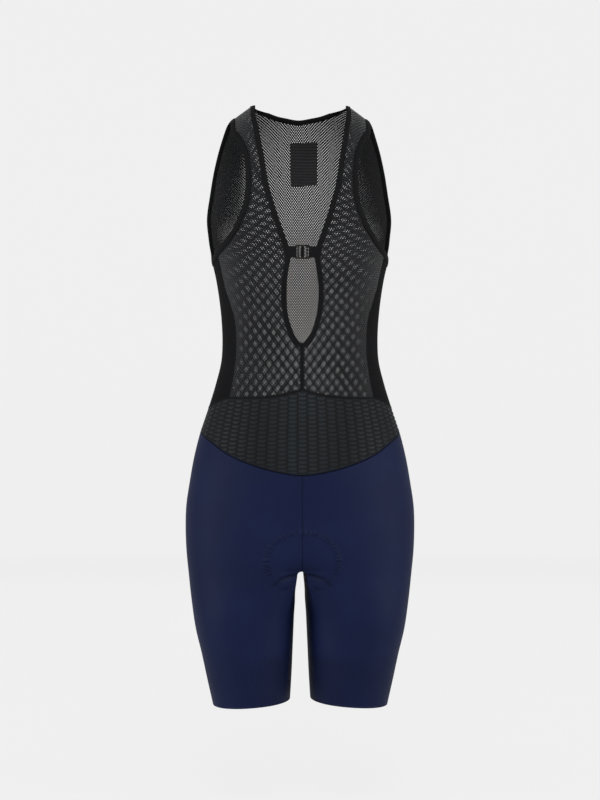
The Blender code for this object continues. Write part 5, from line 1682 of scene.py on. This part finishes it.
def crotch_seam():
    """Points and outward directions on the shorts' centre seam: down the front, under the
    crotch and up the back."""
    top = LINES["waist bottom"]
    rows = []
    for angle, end in ((0.5 * math.pi, top[0, 1]), (1.5 * math.pi, top[-1, 1])):
        levels = np.linspace(float(rise_to_level(end)[0]) - 1.0, CROTCH_LEVEL, 90)
        rows.append(hip_point(np.full_like(levels, angle), levels))
    shares = np.linspace(1, 0, 42)[1:-1]
    under = medial_leg_point(shares, np.zeros_like(shares))
    path = np.vstack([rows[0], under, rows[1][::-1]])
    path[:, 0] = 0
    return path, square_to(np.gradient(path, axis=0))


class BibSeams(bpy.types.Operator):
    """Cover tapes on the seams of the upper part and overlocked allowances inside every seam"""
    bl_idname = "bib.seams"
    bl_label = "Seams"

    def execute(self, context):
        """Sweeps flat tapes along the seam lines, outside and inside."""
        waist, below = all_round("waist top"), all_round("waist bottom")
        bib = centre_spots(0.5 * math.pi, np.linspace(LINES["neck seam"][-1, 1] + 1.5,
                                                      LINES["waist top"][0, 1], 40))
        join = centre_spots(1.5 * math.pi, np.linspace(waist[-1, 1], below[-1, 1], 12))
        crest = on_skin(np.linspace(LINES["arm seam"][0], LINES["neck seam"][0], 12))
        sides = [*(line_spots(LINES[name]) for name in ("front seam", "back seam")), crest]
        sides += [(points * MIRROR, normals * MIRROR) for points, normals in sides]
        arm = line_spots(LINES["arm seam"])
        arms = (arm, (arm[0] * MIRROR, arm[1] * MIRROR))
        material = tape_material("seam_tape", colours().tape)

        def tapes(name, rows):
            """One mesh of tapes: rows hold points, directions, half width, top and bottom."""
            cut = Cut()
            step = 1 / len(rows)
            for number, (spots, half, high, low) in enumerate(rows):
                wide, tall = bar_profile(half, (high - low) / 2, min(0.25, (high - low) / 2.2))
                rings = sweep(spots[0] + (high + low) / 2 * spots[1], spots[1], wide, tall)
                base = number / len(rows)
                add_tube(cut, rings, False, ((0.005, base + 0.05 * step), (0.995, base + 0.95 * step)))
            declare(cut.build(name, material), "binding_tape")

        tapes("seam_tapes", [(bib, 2.1, 0.35, -0.4), *((spots, 1.3, 0.15, -0.5) for spots in sides),
                             (line_spots(waist), 1.5, 0.2, -0.5)])
        tapes("seam_allowances", [
            (bib, 3.2, -1.75, -2.7), *((spots, 3.0, -1.75, -2.7) for spots in sides),
            (line_spots(waist), 3.2, -1.8, -2.8), (line_spots(below), 3.4, -1.9, -2.9),
            (join, 2.6, -1.7, -2.7), *((spots, 1.1, -1.7, -2.3) for spots in arms)])
        path, normals = crotch_seam()
        pad = (path[:, 2] < PAD_CENTRE + PAD_FRONT_HALF[1] + 3).nonzero()[0]
        for name, part in (("front", slice(0, pad[0])), ("back", slice(pad[-1], None))):
            tapes("centre_allowance_" + name, [((path[part], normals[part]), 3.2, -1.9, -2.9)])
        return {"FINISHED"}


class BibLabel(bpy.types.Operator):
    """Bare woven label inside the back of the neck"""
    bl_idname = "bib.label"
    bl_label = "Label"

    def execute(self, context):
        """Lays a thin ribbed rectangle under the back net, with its two ends folded in."""
        across, down = np.meshgrid(np.linspace(0, 1, 64), np.linspace(0, 1, 96))
        (top_left, top_right), (low_left, low_right) = np.array(LABEL_CORNERS)
        right, low = across[..., None], down[..., None]
        spots = ((1 - low) * ((1 - right) * top_left + right * top_right)
                 + low * ((1 - right) * low_left + right * low_right))
        x, high = spots[..., 0], spots[..., 1]
        rise = crest_height(x)
        grid = on_figure(np.abs(x), (high - rise) / (1 - rise / BUST_LEVEL), "back")
        grid[..., 0] = np.where(x > 0, 3 * math.pi - grid[..., 0], grid[..., 0])
        points, normals = on_skin(grid)
        outer = points - (WALL + LABEL_GAP) * normals
        wave = np.sin(high * TAU / 4.3 + 0.6 * np.sin(high / 7) + 0.5 * np.sin(x / 9))
        ribs = 0.5 + 0.15 * np.sin(high * TAU / 1.43) + 0.35 * wave
        fold = smooth_step((np.abs(2 * down - 1) - 0.84) / 0.03)
        inner = outer - (LABEL_THICK * (0.8 + 0.2 * fold) + 0.14 * ribs)[..., None] * normals
        cut = Cut()
        add_wall(cut, outer, inner, spots, relief=ribs, beside=True)
        # The ribs also set the relief by which tape_material paints shade between them.
        material = tape_material("label_cloth", colours().label, 0.6, ribbed=True)
        thing = declare(cut.build("woven_label", material), "label_weave", "neck_label")
        return {"FINISHED"}


class BibClasp(bpy.types.Operator):
    """Enamelled wire hook and loop, each held by a folded cloth tab"""
    bl_idname = "bib.clasp"
    bl_label = "Clasp"

    def ring(self, cut, ends, middle, box):
        """A rounded wire frame between two bars, with a third bar in it."""
        height = (RAIL[0] + RAIL[1]) / 2
        low, high = CLASP_LEVEL - height, CLASP_LEVEL + height
        frame_path = round_corners([(ends[0], CLASP_Y, low), (ends[1], CLASP_Y, low),
                                    (ends[1], CLASP_Y, high), (ends[0], CLASP_Y, high)],
                                   1.5, closed=True)
        wide, deep = bar_profile(BAR_HALF, RING_HALF_DEPTH, 0.6)
        worn = smooth_step((np.abs(wide) / BAR_HALF + np.abs(deep) / RING_HALF_DEPTH - 1.5) / 0.3)
        inward = np.array((0.0, 1.0, 0.0))
        add_tube(cut, sweep(frame_path, inward, wide, deep, closed=True), True, box[0], relief=worn)
        path = np.linspace((middle, CLASP_Y, low), (middle, CLASP_Y, high), 12)
        add_tube(cut, sweep(path, inward, wide * 0.92, deep * 0.92), False, box[1], relief=worn)

    def execute(self, context):
        """Makes the loop, the hook with its bent strip, and the two tabs."""
        material, tree, shader = finish_material("clasp_enamel", 0.45, 0.1)
        place = object_place(tree)
        worn = times(tree, relief_value(tree), between(tree, noise(tree, place, 700.0, 3.0), 0.5, 0.62))
        base = dyed(tree, colours().enamel, 0.8, 1.3, 0.6, 0.02)
        wire(tree, mix_colour(tree, times(tree, worn, 0.35), base, (0.12, 0.12, 0.125, 1)),
             shader.inputs["Base Color"])
        wire(tree, between(tree, noise(tree, place, 1500.0), 0.3, 0.7, 0.35, 0.5),
             shader.inputs["Roughness"])
        add_bump(tree, shader, noise(tree, place, 2500.0), 0.25, 0.05)
        loop = Cut()
        self.ring(loop, (-FOLD_X, LOOP_END), -MIDDLE_BAR,
                  (((0.01, 0.01), (0.99, 0.6)), ((0.01, 0.65), (0.99, 0.99))))
        declare(loop.build("clasp_wire_loop", material), "clasp_enamel", "clasp_loop")
        hook = Cut()
        self.ring(hook, (HOOK_STEM, FOLD_X), MIDDLE_BAR,
                  (((0.01, 0.01), (0.99, 0.3)), ((0.01, 0.33), (0.99, 0.5))))
        front = CLASP_Y - RING_HALF_DEPTH - HOOK_CLEAR - HOOK_THICK / 2
        back = CLASP_Y + RING_HALF_DEPTH + HOOK_CLEAR + HOOK_THICK / 2
        path = round_corners([(x, y, CLASP_LEVEL) for x, y in (
            (HOOK_STEM, CLASP_Y), (HOOK_STEM, front), (HOOK_BEND, front), (HOOK_BEND, back),
            (HOOK_LIP, back))], 0.75)
        wide, tall = bar_profile(HOOK_THICK / 2, HOOK_HALF_HEIGHT, 0.35)
        add_tube(hook, sweep(path, np.array((0.0, 0.0, 1.0)), wide, tall), False,
                 ((0.01, 0.53), (0.99, 0.99)))
        declare(hook.build("clasp_wire_hook", material), "clasp_enamel", "clasp_hook")

        edge = figure_point(*LINES["neck edge"].T)
        edge = edge[np.argsort(edge[:, 2])]
        cloth = tape_material("clasp_tab_tape", colours().tape, 0.5)
        turn = np.radians(np.concatenate([np.linspace(-158, 158, 60), np.linspace(160, 200, 21)]))
        wide, tall = bar_profile(1.0, TAB_HALF_HEIGHT, 0.5, turns=4)
        tall = np.clip(tall, -TAB_HALF_HEIGHT, TAB_HALF_HEIGHT)
        tail = -np.interp(CLASP_LEVEL + tall, edge[:, 2], edge[:, 0]) - FOLD_X - TAB_GAP
        cosine, sine = np.cos(turn)[:, None], np.sin(turn)[:, None]
        far = np.minimum(TAB_HALF_THICK / np.maximum(np.abs(sine), 1e-9),
                         tail[None] / np.maximum(np.abs(cosine), 1e-9))
        radius = np.where(cosine < 0, np.maximum(FOLD_OUTSIDE, far), FOLD_OUTSIDE)
        share = (wide[None] / np.abs(wide).max() + 1) / 2
        radius = FOLD_INSIDE + (radius - FOLD_INSIDE) * share
        rings = np.stack([radius * cosine - FOLD_X, radius * sine + CLASP_Y,
                          np.broadcast_to(CLASP_LEVEL + tall, radius.shape)], axis=-1)
        tab = Cut()
        add_tube(tab, rings, True)
        for side, cut in both_halves(tab):
            thing = declare(cut.build("clasp_fold_" + side, cloth), "binding_tape",
                            "clasp_tab_" + side)
        return {"FINISHED"}


def pad_line(angle, level, reach, slant):
    """A line of the pad from a centre seam at a level, out by the reach and down by the slant in
    radians, with its distances out.  Its points crowd towards the rim as a sine."""
    away = np.sin(np.linspace(0, math.pi / 2, PAD_COLUMNS + 1)) * reach
    depth = away * math.sin(slant) + CROTCH_LEVEL - level
    depth[0] = CROTCH_LEVEL - level
    start = abs(float(hip_point(np.array(angle), np.array(float(CROTCH_LEVEL)))[1]))
    turn = 1 if angle < math.pi else -1
    angles = angle + turn * away * math.cos(slant) / start
    at_level = hip_point(angles, CROTCH_LEVEL - depth)
    below = outer_leg_point(angles, np.maximum(depth, 0))
    return np.where((depth > 0)[:, None], below, at_level), away


def pad_lines():
    """Every line of the pad from front to back on the -X half, with its distances out."""
    lines = []
    bottom_reach = CROTCH_LEVEL - (PAD_CENTRE - PAD_FRONT_HALF[1])
    for angle, half in ((0.5 * math.pi, PAD_FRONT_HALF), (1.5 * math.pi, PAD_BACK_HALF)):
        foot = math.acos((CROTCH_LEVEL - PAD_CENTRE) / half[1])
        rows = [pad_line(angle, PAD_CENTRE + half[1] * math.cos(turn), half[0] * math.sin(turn), 0.0)
                for turn in np.linspace(0.16, foot, 26)]
        widest = half[0] * math.sin(foot)
        for slant in np.radians(np.linspace(0, 90, 13)[1:]):
            reach = 1 / math.hypot(math.cos(slant) / widest, math.sin(slant) / bottom_reach)
            rows.append(pad_line(angle, CROTCH_LEVEL, reach, slant))
        lines.append(rows)
    depths = np.sin(np.linspace(0, math.pi / 2, PAD_COLUMNS + 1)) * bottom_reach
    shares = np.linspace(1, 0, 24)[1:-1]
    between_rows = [(medial_leg_point(np.full_like(depths, share), depths), depths) for share in shares]
    rows = lines[0] + between_rows + lines[1][::-1]
    return np.array([row[0] for row in rows]), np.array([row[1] for row in rows])


class BibPad(bpy.types.Operator):
    """Seat pad: a saddle of brushed jersey over foam, with moulded channels"""
    bl_idname = "bib.pad"
    bl_label = "Seat Pad"

    def execute(self, context):
        """Makes the pad between the cloth and a crowned inner face, thin at its rim."""
        half, away = pad_lines()
        half[:, 0, 0] = 0
        count, across = half.shape[:2]
        points = np.concatenate([half[:, :0:-1] * MIRROR, half], axis=1)
        away = np.concatenate([away[:, :0:-1], away], axis=1)
        flat = points.reshape(-1, 3)
        quads = four_corners(np.arange(len(flat)).reshape(points.shape[:2])).reshape(-1, 4)
        normals = vertex_normals(flat, quads).reshape(points.shape)
        if normals[10, across][1] > 0:
            normals = -normals
        path = half[:, 0]
        run = np.gradient(path, axis=0)
        for place in np.unique(path.round(5), axis=0):
            same = np.flatnonzero(np.all(np.abs(path - place) < 1e-4, axis=1))
            run[same] = path[min(same[-1] + 1, count - 1)] - path[max(same[0] - 1, 0)]
        normals[:, across - 1] = square_to(run)

        share = away / away[:, -1:]
        along = np.linspace(-1, 1, count)[:, None]
        crown = (1 - share**2.4) * (1 - along**6)
        channels = (1.9 * np.exp(-((away - 11) / 2.0)**2) * smooth_step((0.8 - np.abs(along)) / 0.1)
                    + 1.5 * np.exp(-((away - 27 - 8 * along) / 1.8)**2)
                    * smooth_step((0.62 - np.abs(along + 0.1)) / 0.1))
        thick = PAD_EDGE * 0.6 + (PAD_THICK - PAD_EDGE * 0.6) * crown - channels * crown
        outer = points - (SHORTS_WALL + 0.9) * normals
        inner = outer - thick[..., None] * normals
        side = np.sign(np.arange(2 * across - 1) - across + 1)
        cloth = pairs(side * away, lengths_over(points, 0)[:, across - 1][:, None])
        material, tree, shader = finish_material("pad_cloth", 0.9, 0.08, sheen=0.1)
        base = dyed(tree, colours().pad, 0.8, 1.25, 0.7, 0.15)
        holes = tree.nodes.new("ShaderNodeTexVoronoi")
        holes.inputs["Scale"].default_value = 0.16
        holes.inputs["Randomness"].default_value = 0.0
        wire(tree, cloth_place(tree), holes.inputs["Vector"])
        dimple = between(tree, holes.outputs["Distance"], 0.1, 0.16)
        wire(tree, darkened(tree, between(tree, dimple, 0, 1, 0.35, 1.0), base),
             shader.inputs["Base Color"])
        height = maths(tree, "MULTIPLY_ADD", knit(tree, 0.9, 0.8)["Height"], 0.25, dimple)
        add_bump(tree, shader, height, 0.6, 0.6)
        cut = Cut()
        add_wall(cut, outer, inner, cloth, relief=crown, beside=True)
        thing = declare(cut.build("padded_seat", material, weld=1e-3), "pad_jersey", "seat_pad")
        return {"FINISHED"}


class BibStitches(bpy.types.Operator):
    """Rows of stitches beside the seams and on the tapes"""
    bl_idname = "bib.stitches"
    bl_label = "Stitches"

    def execute(self, context):
        """Makes the black stitches of the upper part, then the navy ones of the shorts."""
        cut = Cut()
        for part in ("neck", "back neck", "arm"):
            line = LINES[part + " edge"] * 0.2 + LINES[part + " seam"] * 0.8
            add_stitches(cut, line_spots(line[1:-1]), 0.5)
        for name, aside, lift in (("front seam", 0.75, 0.12), ("back seam", 0.75, 0.12),
                                  ("waist top", 0.85, 0.17)):
            for offset in (-aside, aside):
                add_stitches(cut, line_spots(LINES[name][1:-1], offset), lift)
        points, normals = centre_spots(0.5 * math.pi, np.linspace(LINES["neck seam"][-1, 1] - 1,
                                                                LINES["waist top"][0, 1] + 1, 40))
        add_stitches(cut, (points - (1.2, 0, 0), normals), 0.3)
        thread = thread_material("black_thread", shifted(colours().jersey, 1.3), 0.6)
        for side, half in both_halves(cut):
            declare(half.build("upper_stitches_" + side, thread), "binding_tape")

        cut = Cut()
        add_stitches(cut, line_spots(move_across(LINES["waist bottom"], -2.2)[1:-1]), 0.02)
        path, normals = crotch_seam()
        add_stitches(cut, ((path - (1.7, 0, 0))[1:-1], normals[1:-1]), -0.1)
        navy = thread_material("navy_thread", shifted(colours().shorts, 1.1), 0.5)
        for side, half in both_halves(cut):
            declare(half.build("shorts_stitches_" + side, navy), "shorts_jersey")
        return {"FINISHED"}


class BibStage(bpy.types.Operator):
    """Pale studio floor and round wall, soft lights and the camera"""
    bl_idname = "bib.stage"
    bl_label = "Stage"

    def execute(self, context):
        """Makes the stage as a surface of revolution and sets the lights and the view."""
        material = bpy.data.materials.new("studio_paper")
        material.use_nodes = True
        tree = material.node_tree
        shader = tree.nodes["Principled BSDF"]
        shader.inputs["Base Color"].default_value = (0.12, 0.12, 0.12, 1)
        shader.inputs["Specular IOR Level"].default_value = 0.0
        shader.inputs["Roughness"].default_value = 1.0
        grain = noise(tree, object_place(tree), 3.0, 2.0)
        pale = tuple(colours().studio)
        wire(tree, mix_colour(tree, grain, shifted(pale, 0.998), shifted(pale, 1.002)),
             shader.inputs["Emission Color"])
        seen = tree.nodes.new("ShaderNodeLightPath").outputs["Is Camera Ray"]
        level = parts(tree, object_place(tree))[2]
        glow = between(tree, level, -0.999, -0.97, FLOOR_LIGHT, PAPER_LIGHT)
        wire(tree, between(tree, seen, 0, 1, AIR_LIGHT, glow), shader.inputs["Emission Strength"])
        clear = tree.nodes.new("ShaderNodeBsdfTransparent")
        pick = tree.nodes.new("ShaderNodeMixShader")
        wire(tree, tree.nodes.new("ShaderNodeNewGeometry").outputs["Backfacing"], pick.inputs[0])
        wire(tree, shader.outputs[0], pick.inputs[1])
        wire(tree, clear.outputs[0], pick.inputs[2])
        wire(tree, pick.outputs[0], tree.nodes["Material Output"].inputs["Surface"])

        # floor disc, a quarter-round fillet and a wall, as distance from the axis and height
        turn = np.linspace(0, math.pi / 2, 13)
        floor, reach, fillet, top = -1000.0, 5200.0, 1500.0, 5200.0
        distance = np.concatenate([[1.0], reach - fillet + fillet * np.sin(turn), [reach]])
        height = np.concatenate([[floor], floor + fillet * (1 - np.cos(turn)), [top]])
        around = np.linspace(0, TAU, 97)
        wall = np.stack(np.broadcast_arrays(distance[:, None] * np.cos(around),
                                            distance[:, None] * np.sin(around), height[:, None]), -1)
        cut = Cut()
        numbers = cut.spots(wall)
        places = spread((0, 0), (1, 1), numbers.shape)
        cut.patch(numbers, places, places, flip=True)
        cut.build("studio_floor", material, closed=False)

        world = bpy.data.worlds.new("studio_air")
        world.use_nodes = True
        world.node_tree.nodes["Background"].inputs[0].default_value = (*pale, 1)
        world.node_tree.nodes["Background"].inputs[1].default_value = 0.45
        bpy.context.scene.world = world

        for name, place, size, power in (
                ("left_softbox", (-2.9, -1.3, -0.3), 1.2, 33),
                ("right_softbox", (2.9, -1.3, -0.3), 1.2, 33),
                ("top_softbox", (0.0, -2.3, 1.9), 1.3, 22),
                ("rear_softbox", (0.0, 2.8, 1.2), 2.0, 14)):
            light = bpy.data.lights.new(name, "AREA")
            light.size = size
            light.energy = power
            lamp = placed(name, light)
            lamp.location = place
            aim = np.array((0.0, 0.0, -0.4)) - np.array(place)
            flat = math.hypot(aim[0], aim[1])
            lamp.rotation_euler = (math.atan2(flat, -aim[2]), 0, math.atan2(-aim[0], aim[1]))

        view = bpy.data.cameras.new("studio_camera")
        view.sensor_width = 36
        view.lens = 81.25
        camera = placed("studio_camera", view)
        camera.location = (-0.0907, -2.598, -0.423)
        camera.rotation_euler = (math.pi / 2, 0, -math.radians(2))
        bpy.context.scene.camera = camera
        bpy.context.scene.view_settings.view_transform = "Standard"
        return {"FINISHED"}


class BibPanel(bpy.types.Panel):
    """Lists the makers of the garment's pieces with their sizes and colours"""
    bl_idname = "VIEW3D_PT_bib_shorts"
    bl_label = "Bib Shorts"
    bl_space_type = "VIEW_3D"
    bl_region_type = "UI"
    bl_category = "Bib Shorts"

    def draw(self, context):
        """One button for each maker, then the sizes and colours."""
        for maker in MAKERS:
            self.layout.operator(maker.bl_idname)
        for label, store in (("Sizes", context.scene.bib_sizes),
                             ("Colours", context.scene.bib_colours)):
            box = self.layout.box()
            box.label(text=label)
            for prop in store.bl_rna.properties:
                if prop.identifier not in ("rna_type", "name"):
                    box.prop(store, prop.identifier)


MAKERS = (BibSeams, BibStitches, BibNet, BibSides, BibWaist, BibShorts, BibTapes, BibLabel,
          BibClasp, BibPad, BibStage)
CLASSES = (BibSizes, BibColours, *MAKERS, BibPanel)


def register():
    """Registers the classes and hangs the properties on the scene."""
    for kind in CLASSES:
        bpy.utils.register_class(kind)
    bpy.types.Scene.bib_sizes = bpy.props.PointerProperty(type=BibSizes)
    bpy.types.Scene.bib_colours = bpy.props.PointerProperty(type=BibColours)


def unregister():
    """Takes the properties and classes away again."""
    del bpy.types.Scene.bib_colours
    del bpy.types.Scene.bib_sizes
    for kind in reversed(CLASSES):
        bpy.utils.unregister_class(kind)


def main():
    """Makes every piece in order."""
    register()
    for maker in MAKERS:
        area, name = maker.bl_idname.split(".")
        getattr(getattr(bpy.ops, area), name)()


if __name__ == "__main__":
    main()
